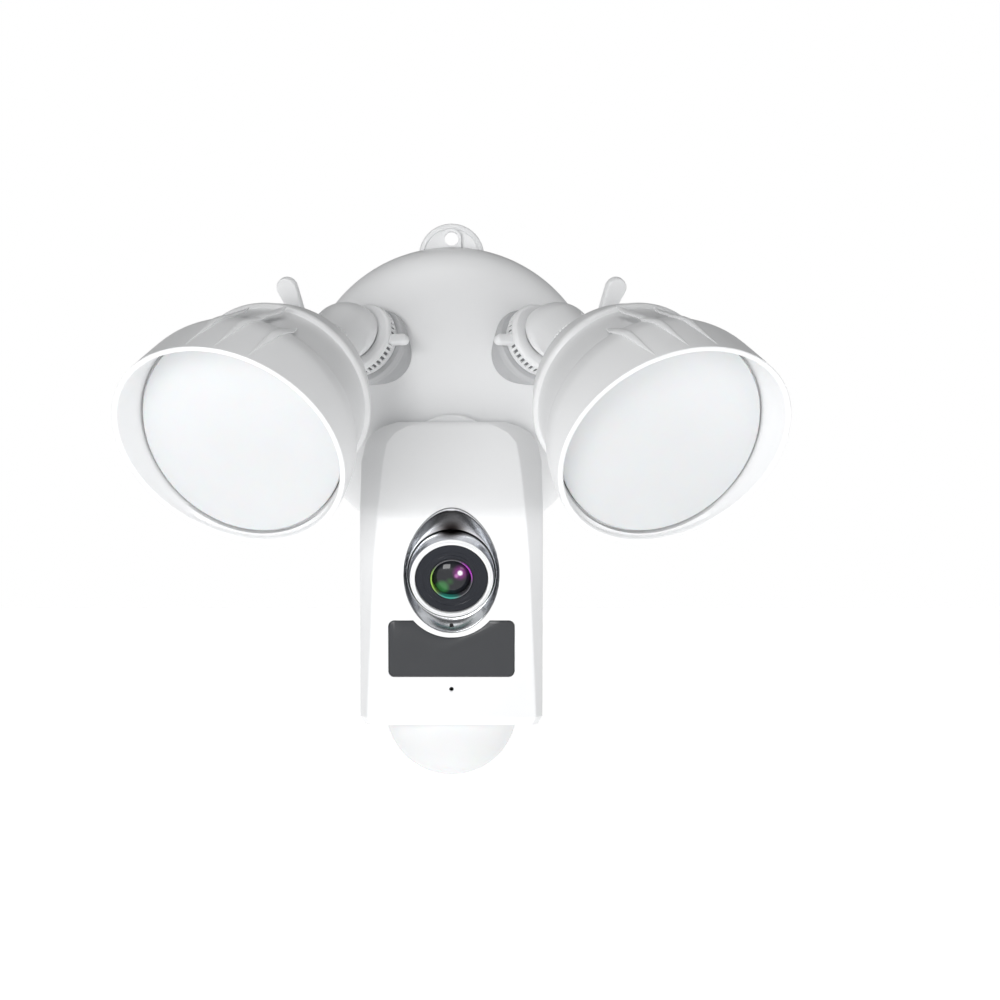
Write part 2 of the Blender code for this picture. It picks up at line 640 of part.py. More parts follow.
def blade(sgn, edge, tip_t, tip_r):
    """Narrow curved cooling blade, lying on the hood and running back to a free pointed tip."""
    h, e = head_axis(sgn), elbow(sgn)
    side, up, a = axes(h)
    rings = []
    for t, r, wide, thick in ((tip_t, tip_r, 0.5, 0.6), (tip_t + 5.0, tip_r + 0.3, 1.6, 1.5),
                              (115.5, 54.6, 2.0, 2.5), (120.0, 56.0, 2.0, 2.7), (126.0, 56.7, 1.6, 2.0)):
        turn = edge - 0.15 * (t - tip_t)
        ring = []
        low = r - thick
        for deg, rr in ((turn - wide, r), (turn + wide, r), (turn + wide, low), (turn - wide, low)):
            ang = sgn * math.radians(deg)
            ring.append(e + a * t + rr * (math.cos(ang) * up + math.sin(ang) * side))
        rings.append(ring)
    verts, faces = skin(rings, False)
    return add("tool", verts, faces, white())


def lamp_head(sgn, side):
    h, e = head_axis(sgn), elbow(sgn)
    b = e + BALL_AT * h
    stud = [(0, -9.2)]
    for deg in (-55, -18, 18, 52):
        a = math.radians(deg)
        stud.append((9.2 * math.cos(a), 9.2 * math.sin(a)))
    stud += [(5.5, 9.0), (5.5, 17.3), (11.0, 17.3), (11.0, 20.0), (0, 20.0)]
    lathe(f"ball_stud_{side}", stud, b, h, steel(), 12)

    body = [(5.8, 46.0), (12.0, 46.4), (24.0, 50.6), (34.0, 58.4), (40.5, 68.0), (44.0, 77.6), (46.2, 80.2),
            (46.2, 83.2), (44.6, 85.8), (46.2, 94.0), (48.6, 104.0), (50.0, 114.0), (50.0, 122.0),
            (46.8, 122.0), (44.4, 102.0), (41.4, 84.0), (33.0, 65.0), (12.6, 50.4), (5.8, 50.0)]
    lathe(f"lamp_housing_{side}", body, e, h, white(), 24)

    rim_t = LENS_AT + RIM_AHEAD
    slope = math.tan(RIM_TILT)

    def rim_lean(r, t):
        return r * slope if t > rim_t - 3 else (r * slope * 0.5 if t > LENS_AT + 4 else 0.0)
    hood = [(51.2, 115.0), (53.0, 115.0), (55.4, 123.0), (56.5, 131.0), (RIM_R, rim_t), (RIM_R - 2.6, rim_t),
            (52.0, 127.4), (52.0, 124.0), (46.2, 124.0), (46.2, 122.3), (51.6, 122.3)]
    shade = lathe(f"lamp_hood_{side}", hood, e, h, white(), 28, shift=rim_shift(rim_lean))
    for edge, tip_t, tip_r in BLADES:
        carve(shade, blade(sgn, edge, tip_t, tip_r), "UNION")
    lathe(f"lens_gasket_{side}", [(46.6, 124.3), (51.0, 124.3), (51.0, 124.8), (46.6, 124.8)],
          e, h, rubber(), 20)
    lathe(f"lamp_lens_{side}", [(0, 125.1), (50.8, 125.1), (50.8, 126.6), (49.6, 127.0), (0, 127.6)],
          e, h, frosted(), 24)
    lathe(f"reflector_{side}",
          [(14.0, 96.4), (42.6, 120.6), (45.4, 120.6), (45.4, 121.6), (42.0, 121.6), (13.2, 97.4)],
          e, h, silver(), 16)
    lathe(f"led_board_{side}", [(0, 93.0), (34.0, 93.0), (34.0, 95.0), (0, 95.0)], e, h,
          material("white_board", (0.8, 0.8, 0.76), 0.5), 16)


# ------------------------------------------------------------------ joints
def pivot(name, at, nodes, parent=None):
    """Empty on a joint's axis; the body's nodes get their origins there."""
    point = Vector([float(c) * MM for c in at])
    hub = bpy.data.objects.new(name, None)
    hub.empty_display_size = 0.01
    bpy.context.scene.collection.objects.link(hub)
    hub.location = point
    if parent:
        hub.parent = parent[0]
        hub.location = point - parent[1]
    for node in nodes:
        ob = bpy.data.objects[node]
        ob.data.transform(Matrix.Translation(-point))
        ob.parent = hub
    return hub, point


def joints():
    pivot("pivot_eye", EYE, ["eye_shell", "eye_face", "lens_barrel", "lens_glass", "sensor_board"])
    pivot("pivot_button", (12, -14, -125), ["reset_button"])
    for sgn, side in ((-1, "l"), (1, "r")):
        face, s = socket_face(sgn), socket_axis(sgn)
        ball = elbow(sgn) + BALL_AT * head_axis(sgn)
        pivot(f"pivot_arm_nut_{side}", face, [f"arm_nut_{side}"])
        arm_hub = pivot(f"pivot_arm_{side}", face - 12.0 * s, [f"elbow_arm_{side}"])
        pivot(f"pivot_lamp_nut_{side}", ball, [f"lamp_nut_{side}"], arm_hub)
        seat = pivot(f"pivot_roll_{side}", ball, [f"ball_seat_{side}"], arm_hub)
        pivot(f"pivot_tilt_{side}", ball, [f"{n}_{side}" for n in (
            "ball_stud", "lamp_housing", "lamp_hood", "lens_gasket", "lamp_lens", "reflector",
            "led_board")], seat)


# ------------------------------------------------------------------ build
start_empty()
canopy()
canopy_parts()
housing_front()
housing_rear()
housing_parts()
eye_parts()
for SIGN, SIDE in ((-1, "l"), (1, "r")):
    socket(SIGN, SIDE)
    base_nut(SIGN, SIDE)
    arm(SIGN, SIDE)
    ball_seat(SIGN, SIDE)
    lamp_nut(SIGN, SIDE)
    lamp_head(SIGN, SIDE)
joints()
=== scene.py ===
"""Floodlight security camera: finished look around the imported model.

Lengths are millimetres until a mesh is made.  The frame is the model's own: origin on the
wall at the canopy's centre, +Z up, +X to the viewer's right, the front toward -Y.
"""
import math

import bmesh
import bpy
import numpy as np
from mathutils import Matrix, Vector


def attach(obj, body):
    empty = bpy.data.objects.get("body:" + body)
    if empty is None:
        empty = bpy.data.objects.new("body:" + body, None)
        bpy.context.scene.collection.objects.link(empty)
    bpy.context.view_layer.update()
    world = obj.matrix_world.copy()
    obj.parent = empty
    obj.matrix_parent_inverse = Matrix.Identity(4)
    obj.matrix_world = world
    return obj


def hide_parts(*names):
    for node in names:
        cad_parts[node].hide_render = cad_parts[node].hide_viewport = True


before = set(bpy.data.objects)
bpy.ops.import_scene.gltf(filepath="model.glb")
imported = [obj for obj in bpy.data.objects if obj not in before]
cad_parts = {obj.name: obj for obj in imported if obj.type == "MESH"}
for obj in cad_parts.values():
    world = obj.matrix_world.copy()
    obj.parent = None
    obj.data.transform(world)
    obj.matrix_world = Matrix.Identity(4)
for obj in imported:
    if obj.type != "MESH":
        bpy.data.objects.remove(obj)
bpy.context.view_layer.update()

MM = 0.001
SIDES = ((-1, "l"), (1, "r"))

CANOPY_R, CANOPY_WALL = 76.4, 3.0
DOME = [(76.4, 2.8), (76.4, 9.0), (76.2, 14.0), (74.6, 22.0), (70.0, 30.0), (62.0, 37.0), (50.0, 43.2),
        (34.0, 47.4), (17.0, 49.4), (0.0, 50.0)]
LUG_R, LUG_AT, LUG_HOLE_R, LUG_HOLE_AT = 16.9, 72.3, 3.65, 81.2
LUG_CLOCK = (90.0, 210.0, 330.0)

SPLIT_Y, REAR_Y = -60.0, -12.0
FACE_Y, FACE_Z, FACE_SLOPE = -104.0, -60.0, 0.13
SECTIONS = [(-15.0, -67.0, 14.0, 27.0), (-17.2, -68.6, 22.0, 34.0), (-20.5, -71.0, 28.0, 39.5),
            (-25.5, -75.0, 32.2, 43.0), (-35.0, -82.6, 33.8, 44.9), (-47.0, -93.0, 35.0, 44.9),
            (-57.0, -102.2, 35.8, 44.9), (-63.0, -103.6, 36.4, 44.9), (-80.0, -101.4, 37.8, 44.9),
            (-107.0, -97.9, 39.2, 44.9), (-134.0, -94.4, 40.4, 44.9), (-160.5, -90.9, 41.6, 44.9),
            (-164.5, -88.4, 39.6, 42.9)]
EYE = np.array([0.0, -92.0, -89.5])
EYE_R, EYE_DOWN = 21.5, math.radians(21.0)
LENS_DROP = 3.1                 # how far the tilted lens sits below the eye's centre
EGG_TOP, EGG_LOW, EGG_HALF = -58.2, -118.7, 23.2
PIR_Y, PIR_R, PIR_Z = -51.0, 33.0, -159.0

SOCKET_OFF, SOCKET_CLOCK = math.radians(42.0), math.radians(34.0)
HEAD_YAW, HEAD_PITCH = math.radians(22.7), math.radians(-25.5)
SOCKET_FACE = np.array([46.8, -58.0, 27.7])
ARM_R, BALL_AT, LENS_AT = 14.0, 33.0, 127.0
NECK, NECK_R = np.array([0.0, -44.0, -36.4]), 25.2
MARK_LEAN, LEVER_LEAN = 0.35, math.radians(14.0)
ELBOW_AHEAD = 11.4
# cooling blades on each hood: clock angle in degrees, depth and radius of each free tip
BLADES = [(3.0, 100.0, 51.8), (19.0, 89.0, 50.3), (33.0, 105.0, 50.9)]
BLADE_FRONT, BLADE_PROUD, BLADE_DRIFT = 141.0, 1.3, 0.15
HOOD_BACK = 115.0
RIM_AHEAD, RIM_TILT, RIM_R = 16.4, math.radians(15.6), 56.7

FLOOR_Z, CAMERA_AT, CAMERA_SHIFT = -0.32, (0.0, -1.6, -0.054), 0.0485
SENSOR, FOCAL = 36.0, 36.0 * 3.078


def socket_axis(sgn):
    off, clock = SOCKET_OFF, SOCKET_CLOCK
    return np.array([sgn * math.sin(off) * math.cos(clock), -math.cos(off), math.sin(off) * math.sin(clock)])


def socket_face(sgn):
    return SOCKET_FACE * (sgn, 1, 1)


def elbow(sgn):
    return socket_face(sgn) + ELBOW_AHEAD * socket_axis(sgn)


def head_axis(sgn):
    level = math.cos(HEAD_PITCH)
    return np.array([sgn * math.sin(HEAD_YAW) * level, -math.cos(HEAD_YAW) * level, math.sin(HEAD_PITCH)])


# ------------------------------------------------------------------ materials
def surface(name, colour, rough, metal=0.0, grain=900.0, bump=0.05, vary=0.03, rough_vary=0.06, **sockets):
    """Principled surface with fine moulded grain, slight colour drift and uneven gloss."""
    mat = bpy.data.materials.get(name)
    if mat:
        return mat
    mat = bpy.data.materials.new(name)
    mat.use_nodes = True
    nodes, links = mat.node_tree.nodes, mat.node_tree.links
    bsdf = nodes["Principled BSDF"]
    bsdf.inputs["Metallic"].default_value = metal
    for key, value in sockets.items():
        bsdf.inputs[key.replace("_", " ")].default_value = value
    coord = nodes.new("ShaderNodeTexCoord")
    drift = nodes.new("ShaderNodeTexNoise")
    drift.inputs["Scale"].default_value = 22.0
    drift.inputs["Detail"].default_value = 4.0
    links.new(coord.outputs["Object"], drift.inputs["Vector"])
    ramp = nodes.new("ShaderNodeValToRGB")
    ramp.color_ramp.elements[0].position, ramp.color_ramp.elements[1].position = 0.3, 0.7
    ramp.color_ramp.elements[0].color = (*[c * (1 - vary) for c in colour], 1)
    ramp.color_ramp.elements[1].color = (*[min(1.0, c * (1 + vary)) for c in colour], 1)
    links.new(drift.outputs["Fac"], ramp.inputs["Fac"])
    links.new(ramp.outputs["Color"], bsdf.inputs["Base Color"])
    fine = nodes.new("ShaderNodeTexNoise")
    fine.inputs["Scale"].default_value = grain
    fine.inputs["Detail"].default_value = 3.0
    links.new(coord.outputs["Object"], fine.inputs["Vector"])
    gloss = nodes.new("ShaderNodeMapRange")
    gloss.inputs["To Min"].default_value = max(0.0, rough - rough_vary)
    gloss.inputs["To Max"].default_value = min(1.0, rough + rough_vary)
    links.new(drift.outputs["Fac"], gloss.inputs["Value"])
    links.new(gloss.outputs["Result"], bsdf.inputs["Roughness"])
    relief = nodes.new("ShaderNodeBump")
    relief.inputs["Strength"].default_value = bump
    relief.inputs["Distance"].default_value = 0.0002
    links.new(fine.outputs["Fac"], relief.inputs["Height"])
    links.new(relief.outputs["Normal"], bsdf.inputs["Normal"])
    return mat


def white():
    return surface("white_moulded", (0.84, 0.845, 0.85), 0.34, bump=0.06, vary=0.012)


def coated_white():
    return surface("white_powder_coat", (0.78, 0.785, 0.79), 0.38, grain=1500.0, bump=0.12, vary=0.012)


def grey():
    return surface("grey_moulded", (0.52, 0.525, 0.535), 0.5, bump=0.1)


def rubber():
    return surface("black_rubber_skin", (0.025, 0.025, 0.026), 0.75, bump=0.2)


def silver():
    return surface("satin_silver", (0.66, 0.67, 0.69), 0.2, metal=1.0, grain=2500.0, bump=0.04, vary=0.02)


def steel():
    return surface("brushed_steel_skin", (0.50, 0.51, 0.53), 0.32, metal=1.0, bump=0.1, vary=0.05)


def black_gloss():
    return surface("black_satin", (0.016, 0.018, 0.024), 0.22, bump=0.02, rough_vary=0.04,
                   Specular_IOR_Level=0.22)


def window_gloss():
    return surface("dark_window", (0.046, 0.048, 0.052), 0.12, bump=0.0, rough_vary=0.02,
                   Specular_IOR_Level=0.3)


def board():
    return surface("solder_mask", (0.02, 0.13, 0.06), 0.45, grain=300.0, bump=0.3, vary=0.3)


def frosted():
    return surface("frosted_diffuser", (0.68, 0.69, 0.70), 0.42, grain=2200.0, bump=0.15, vary=0.015,
                   Subsurface_Weight=0.2, Subsurface_Scale=0.004)


def milky():
    return surface("milky_sensor_dome", (0.75, 0.755, 0.76), 0.3, grain=260.0, bump=0.1, vary=0.02,
                   Subsurface_Weight=0.15, Subsurface_Scale=0.003)


def spot(mat, centre, size, inner=0.0):
    """Factor that is 1 at a place on the object and fades to 0 at an ellipse round it (front view)."""
    nodes, links = mat.node_tree.nodes, mat.node_tree.links
    coord, shift = nodes.new("ShaderNodeTexCoord"), nodes.new("ShaderNodeVectorMath")
    shift.operation = "SUBTRACT"
    shift.inputs[1].default_value = (centre[0] * MM, 0.0, centre[1] * MM)
    stretch, length = nodes.new("ShaderNodeVectorMath"), nodes.new("ShaderNodeVectorMath")
    stretch.operation, length.operation = "MULTIPLY", "LENGTH"
    stretch.inputs[1].default_value = (1 / (size[0] * MM), 0.0, 1 / (size[1] * MM))
    fade = nodes.new("ShaderNodeMapRange")
    fade.interpolation_type = "SMOOTHSTEP"
    fade.inputs["From Min"].default_value, fade.inputs["From Max"].default_value = inner, 1.0
    fade.inputs["To Min"].default_value, fade.inputs["To Max"].default_value = 1.0, 0.0
    links.new(coord.outputs["Object"], shift.inputs[0])
    links.new(shift.outputs["Vector"], stretch.inputs[0])
    links.new(stretch.outputs["Vector"], length.inputs[0])
    links.new(length.outputs["Value"], fade.inputs["Value"])
    return fade.outputs["Result"]


def tint(mat, factor, colour):
    """Lay a colour over the surface's own by a factor."""
    nodes, links = mat.node_tree.nodes, mat.node_tree.links
    base = nodes["Principled BSDF"].inputs["Base Color"]
    mix = nodes.new("ShaderNodeMix")
    mix.data_type = "RGBA"
    links.new(base.links[0].from_socket, mix.inputs[6])
    mix.inputs[7].default_value = (*colour, 1)
    links.new(factor, mix.inputs[0])
    links.new(mix.outputs[2], base)


def silver_painted_shade():
    """Satin silver with painted shade, dark where the cowl over the eye is deepest."""
    if "silver_painted_shade" in bpy.data.materials:
        return bpy.data.materials["silver_painted_shade"]
    mat = surface("silver_painted_shade", (0.62, 0.63, 0.65), 0.24, metal=1.0, grain=2500.0, bump=0.04, vary=0.02)
    # painted shade: two dark spots over the top of the eye dish and eye ball, where the cowl's shadow falls
    tint(mat, spot(mat, (0.0, -67.5), (13.0, 7.5), 0.1), (0.10, 0.09, 0.09))
    tint(mat, spot(mat, (0.0, -68.8), (8.0, 5.6), 0.1), (0.008, 0.006, 0.006))
    return mat


def coated_glass():
    """Near-black lens with painted reflections: green and magenta patches and a white highlight laid on as
    colour.
    """
    if "coated_lens" in bpy.data.materials:
        return bpy.data.materials["coated_lens"]
    mat = surface("coated_lens", (0.012, 0.013, 0.017), 0.04, bump=0.0, rough_vary=0.01,
                  Specular_IOR_Level=0.4)
    z = EYE[2] - LENS_DROP
    # painted reflections: green patches at the lower left, a magenta glow at the upper right
    tint(mat, spot(mat, (-4.6, z - 4.0), (4.4, 4.2), 0.35), (0.035, 0.16, 0.045))
    tint(mat, spot(mat, (-0.8, z - 1.2), (2.6, 2.4), 0.0), (0.02, 0.07, 0.02))
    tint(mat, spot(mat, (4.2, z + 3.2), (4.6, 4.6), 0.0), (0.26, 0.02, 0.24))
    tint(mat, spot(mat, (2.4, z + 1.6), (1.5, 1.5), 0.1), (0.45, 0.16, 0.42))
    # painted highlight: a white core inside the magenta glow
    tint(mat, spot(mat, (4.2, z + 3.0), (1.7, 1.7), 0.35), (1.0, 0.95, 1.0))
    return mat


def rim_painted_reflections():
    """Lens rim with painted reflections: yellow-green at the left, cyan below, magenta at the upper right.
    """
    if "lens_rim_painted_reflections" in bpy.data.materials:
        return bpy.data.materials["lens_rim_painted_reflections"]
    mat = surface("lens_rim_painted_reflections", (0.10, 0.10, 0.11), 0.12, bump=0.0, rough_vary=0.02)
    z = EYE[2] - LENS_DROP
    # painted reflections, coloured by place round the rim
    tint(mat, spot(mat, (-9.0, z - 1.0), (8.5, 8.5), 0.2), (0.30, 0.55, 0.08))
    tint(mat, spot(mat, (-1.5, z - 9.0), (7.0, 5.5), 0.2), (0.06, 0.42, 0.34))
    tint(mat, spot(mat, (8.2, z + 4.2), (7.0, 7.0), 0.2), (0.42, 0.05, 0.50))
    return mat


# ------------------------------------------------------------------ mesh helpers
def piece(name, verts, faces, mat, body, nodes=(), sharp=32.0):
    """Mesh object from millimetre points; with a body it is a finished piece, without one a tool."""
    mesh = bpy.data.meshes.new(name)
    mesh.from_pydata([tuple(float(c) * MM for c in v) for v in verts], [], faces)
    bm = bmesh.new()
    bm.from_mesh(mesh)
    bmesh.ops.recalc_face_normals(bm, faces=bm.faces)
    bm.to_mesh(mesh)
    bm.free()
    mesh.materials.append(mat)
    ob = bpy.data.objects.new(name, mesh)
    bpy.context.scene.collection.objects.link(ob)
    if body:
        finish_piece(ob, body, nodes, sharp)
    else:
        shade(ob, sharp)
    return ob


def shade(ob, sharp=32.0):
    ob.data.shade_smooth()
    ob.data.set_sharp_from_angle(angle=math.radians(sharp))


def finish_piece(ob, body, nodes, sharp=32.0):
    """Shade a piece smooth, give it the body it moves with and hide the CAD nodes it stands for."""
    shade(ob, sharp)
    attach(ob, body)
    for node in ([nodes] if isinstance(nodes, str) else nodes):
        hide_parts(node)


def skin(rings, closed):
    """Quads between equal rings of points, joined end to end or capped."""
    n, m = len(rings[0]), len(rings)
    verts = [p for ring in rings for p in ring]
    faces = []
    for j in range(m if closed else m - 1):
        a, b = j * n, ((j + 1) % m) * n
        faces += [(a + i, a + (i + 1) % n, b + (i + 1) % n, b + i) for i in range(n)]
    if not closed:
        faces += [tuple(range(n))[::-1], tuple((m - 1) * n + i for i in range(n))]
    return verts, faces


def axes(axis, up=(0.0, 0.0, 1.0)):
    """Unit vectors across, up and along an axis."""
    a = np.array(axis, float) / np.linalg.norm(axis)
    side = np.cross(a, up)
    side /= np.linalg.norm(side)
    return side, np.cross(side, a), a


def rounded(points, radius=0.6, steps=3, closed=True, every=False):
    """Fillet each corner of a 2-D outline; a corner on the axis (x = 0) stays."""
    n, out = len(points), []
    for i, p in enumerate(points):
        p = np.array(p[:2], float)
        if (not closed and i in (0, n - 1)) or p[0] == 0:
            out.append(tuple(p))
            continue
        a, b = np.array(points[i - 1][:2], float), np.array(points[(i + 1) % n][:2], float)
        la, lb = np.linalg.norm(a - p), np.linalg.norm(b - p)
        if la < 1e-6 or lb < 1e-6:
            out.append(tuple(p))
            continue
        u, v = (a - p) / la, (b - p) / lb
        turn = math.acos(max(-1.0, min(1.0, float(u.dot(v)))))
        if turn > math.radians(165) and not every:
            out.append(tuple(p))
            continue
        r = radius if len(points[i]) < 3 else points[i][2]
        reach = min(r / max(1e-6, math.tan(turn / 2)), la * 0.45, lb * 0.45)
        s, e = p + u * reach, p + v * reach
        for k in range(steps + 1):
            w = k / steps
            out.append(tuple((1 - w) ** 2 * s + 2 * w * (1 - w) * p + w * w * e))
    return out


def lathe(name, profile, origin, axis, mat, body=None, nodes=(), slot=None, seg=96, shift=None, wave=None,
          up=(0, 0, 1), fillet=0.5, sharp=32.0, phase=0.0):
    """Turn a (radius, along) profile round an axis; wave changes the radius and shift the depth."""
    side, upv, a = axes(axis, up)
    origin = np.array(origin, float)
    if fillet:
        profile = rounded(profile, fillet)
    poles = profile[0][0] == 0 and profile[-1][0] == 0
    ring_points = profile[1:-1] if poles else profile
    rings = []
    for r, t in ring_points:
        ring = []
        for i in range(seg):
            ang = 2 * math.pi * i / seg + phase
            rr = wave(r, ang, t) if wave else r
            tt = t + (shift(r, t, ang) if shift else 0.0)
            ring.append(origin + a * tt + rr * (math.cos(ang) * upv + math.sin(ang) * side))
        rings.append(ring)
    verts, faces = skin(rings, not poles)
    if poles:
        faces = faces[:-2]
        first, last, base = len(verts), len(verts) + 1, (len(rings) - 1) * seg
        verts = verts + [origin + a * profile[0][1], origin + a * profile[-1][1]]
        faces += [(first, (i + 1) % seg, i) for i in range(seg)]
        faces += [(last, base + i, base + (i + 1) % seg) for i in range(seg)]
    return piece(name, verts, faces, mat, body, nodes, sharp)


def prism(name, outline, origin, u, v, w0, w1, mat, body=None, nodes=(), bevel=0.0):
    """Extrude an outline in u and v between two offsets along u x v."""
    u, v = np.array(u, float), np.array(v, float)
    w = np.cross(u, v)
    origin = np.array(origin, float)
    rings = [[origin + p[0] * u + p[1] * v + h * w for p in outline] for h in (w0, w1)]
    verts, faces = skin(rings, False)
    ob = piece(name, verts, faces, mat, body, nodes)
    if bevel:
        soften(ob, bevel)
    return ob


def soften(ob, width):
    mod = ob.modifiers.new("edges", "BEVEL")
    mod.width, mod.segments, mod.limit_method = width * MM, 3, "ANGLE"
    mod.angle_limit = math.radians(30.0)
    apply_modifiers(ob)
    shade(ob)


def apply_modifiers(ob):
    deps = bpy.context.evaluated_depsgraph_get()
    mesh = bpy.data.meshes.new_from_object(ob.evaluated_get(deps))
    old, mat = ob.data, ob.data.materials[0]
    ob.modifiers.clear()
    ob.data = mesh
    bpy.data.meshes.remove(old)
    mesh.materials.clear()
    mesh.materials.append(mat)
    for poly in mesh.polygons:
        poly.material_index = 0


def carve(target, tool, how="DIFFERENCE"):
    mod = target.modifiers.new("cut", "BOOLEAN")
    mod.operation, mod.solver, mod.object = how, "EXACT", tool
    apply_modifiers(target)
    discard(tool)


def merge(target, extra):
    """Add another piece's mesh to this one."""
    bm = bmesh.new()
    bm.from_mesh(target.data)
    bm.from_mesh(extra.data)
    bm.to_mesh(target.data)
    bm.free()
    discard(extra)


def discard(ob):
    mesh = ob.data
    bpy.data.objects.remove(ob)
    bpy.data.meshes.remove(mesh)


def rod(name, start, end, radius, mat, seg=48, **rest):
    start, end = np.array(start, float), np.array(end, float)
    length = np.linalg.norm(end - start)
    up = (0, 0, 1) if abs(end[2] - start[2]) < 0.9 * length else (0, 1, 0)
    profile = [(0, 0), (radius, 0), (radius, length), (0, length)]
    return lathe(name, profile, start, end - start, mat, seg=seg, up=up, fillet=0, phase=0.11, **rest)


def smooth_curve(points, per=6):
    """Catmull-Rom through 2-D points."""
    pts = [np.array(p, float) for p in points]
    pts = [2 * pts[0] - pts[1]] + pts + [2 * pts[-1] - pts[-2]]
    out = []
    for i in range(1, len(pts) - 2):
        p0, p1, p2, p3 = pts[i - 1:i + 3]
        for k in range(per):
            t = k / per
            out.append(tuple(0.5 * (2 * p1 + (p2 - p0) * t + (2 * p0 - 5 * p1 + 4 * p2 - p3) * t * t
                                    + (3 * p1 - p0 - 3 * p2 + p3) * t ** 3)))
    return out + [tuple(pts[-2])]


# ------------------------------------------------------------------ canopy
def dome_curve(grow=0.0):
    """Canopy profile from the rim to the crown, moved outward by grow."""
    curve = smooth_curve(DOME, 5)
    curve = [(min(r, CANOPY_R), t) for r, t in curve]
    if not grow:
        return curve
    out = []
    for i, (r, t) in enumerate(curve):
        a, b = curve[max(0, i - 1)], curve[min(len(curve) - 1, i + 1)]
        d = np.array([b[0] - a[0], b[1] - a[1]])
        d /= np.linalg.norm(d)
        out.append((max(0.0, r + grow * d[1]), t - grow * d[0]))
    out[-1] = (0.0, out[-1][1])
    return out


def dome_block(grow):
    curve = dome_curve(grow)
    profile = [(0.0, -20.0), (curve[0][0], -20.0)] + curve
    return lathe("tool", profile, (0, 0, 0), (0, -1, 0), white(), seg=96, fillet=0)


def canopy():
    outside = dome_curve()[::-1]
    inside = dome_curve(-CANOPY_WALL)
    profile = outside[:-1] + [(CANOPY_R, 3.5), (CANOPY_R - 0.7, 2.8),
                              (CANOPY_R - CANOPY_WALL, 2.8)] + inside[1:]
    shell = lathe("canopy_shell_skin", profile, (0, 0, 0), (0, -1, 0), white(), seg=160, fillet=0)
    for clock in LUG_CLOCK:
        c = math.radians(clock)
        d = np.array([math.cos(c), 0, math.sin(c)])
        ear = [(0, 3.1), (LUG_R, 3.1), (LUG_R, 5.0), (LUG_R - 0.5, 6.0), (LUG_R - 2.2, 6.3),
               (LUG_R - 3.0, 5.4), (0, 5.4)]
        carve(shell, lathe("ear", ear, d * LUG_AT, (0, -1, 0), white(), seg=96, phase=0.07, fillet=0.3),
              "UNION")
        across = np.cross((0, -1, 0), d)
        half, top = 5.0, LUG_HOLE_AT
        outline = [(-half, 68.0), (half, 68.0)]
        outline += [(half * math.cos(math.pi * k / 16),
                     top + half * math.sin(math.pi * k / 16)) for k in range(17)]
        carve(shell, prism("boss", outline, (0, 0, 0), across, d, -9.0, -3.7, white()), "UNION")
        carve(shell, rod("bit", d * LUG_HOLE_AT + (0, 1, 0), d * LUG_HOLE_AT + (0, -14, 0), LUG_HOLE_R,
                         white()))
    for sx in (-1, 1):
        carve(shell, rod("post", (sx * 40, -45.0, 0), (sx * 40, -5.0, 0), 4.0, white()), "UNION")
        carve(shell, rod("bit", (sx * 40, -12.0, 0), (sx * 40, -4.0, 0), 1.8, white(), 24))
        f, s = socket_face(sx), socket_axis(sx)
        carve(shell, rod("bit", f - 40 * s, f, 15.3, white()))
    carve(shell, rod("bit", (0, -52, -42), (0, -36, -42), 7.0, white()))
    finish_piece(shell, "base", "canopy_shell", 28)


def canopy_parts():
    lathe("wall_gasket_skin", [(71.5, 0), (75.8, 0), (75.8, 2.5), (71.5, 2.5)], (0, 0, 0), (0, -1, 0),
          rubber(), "base", "wall_gasket", "black_rubber", seg=128)
    for k, x in enumerate((-40, 40)):
        head = [(0, 1.2), (0.9, 1.2), (1.2, 0.4), (3.4, 0.4), (3.6, 0.9), (3.6, 2.3), (1.6, 2.3),
                (1.6, 10.0), (0, 10.0)]
        lathe(f"bracket_screw_{k + 1}_skin", head, (x, 0, 0), (0, -1, 0), steel(), "base",
              f"bracket_screw_{k + 1}", "steel", seg=48, fillet=0.2)
    grommet = [(5.0, 34.6), (9.0, 34.6), (9.0, 36.8), (6.4, 36.8), (6.4, 47.5), (5.0, 47.5)]
    lathe("wire_grommet_skin", grommet, (0, 0, -42), (0, -1, 0), rubber(), "base", "wire_grommet",
          "black_rubber", seg=64)


# ------------------------------------------------------------------ housing
def level(z):
    """Front depth, face half width and side half width of the housing at a height."""
    zs = [s[0] for s in SECTIONS][::-1]
    return [float(np.interp(z, zs, [s[k] for s in SECTIONS][::-1])) for k in (1, 2, 3)]


def section(z, yf, fx, sx, back, inset=0.0):
    fd = 15.0 - 5.0 * min(1.0, max(0.0, (-35.0 - z) / 125.0))
    sx, fx, yf = sx - inset, fx - inset * 0.8, yf + inset
    edge = min(yf + fd, back - 2.0)
    corners = [(-sx, back, 0.05), (-sx, edge, 3.0), (-fx, yf, 1.6), (fx, yf, 1.6), (sx, edge, 3.0),
               (sx, back, 0.05)]
    return [(x, y, z) for x, y in rounded(corners, 1.0, 4, every=True)]


def heights():
    zs = [-15.0, -15.3, -16.0, -17.2, -18.6, -20.5, -22.8, -25.5, -29.0, -35.0, -41.0, -47.0, -52.0, -57.0,
          -58.6, -60.0, -61.4, -63.0]
    zs += list(np.linspace(-68.0, -158.0, 19))
    return zs + [-160.5, -161.6, -163.4, -164.2, -164.5]


def smooth_face(z):
    """Ease the front depth round the crease between the slope and the lower face."""
    yf, fx, sx = level(z)
    if -64.0 < z < -55.0:
        near = [level(z + dz)[0] for dz in (-2.0, -1.0, 0.0, 1.0, 2.0)]
        yf = sum(near) / len(near)
    if z > -16.5:
        drop = (z + 16.5) / 1.5
        yf += 1.2 * drop ** 2
    return yf, fx, sx


def face_frame():
    n = math.hypot(1.0, FACE_SLOPE)
    return (0, FACE_Y, FACE_Z), (1, 0, 0), (0, -FACE_SLOPE / n, 1.0 / n)


def on_face(x, z, out=0.0):
    n = math.hypot(1.0, FACE_SLOPE)
    return np.array([x, FACE_Y + (FACE_Z - z) * FACE_SLOPE - out / n, z - out * FACE_SLOPE / n])


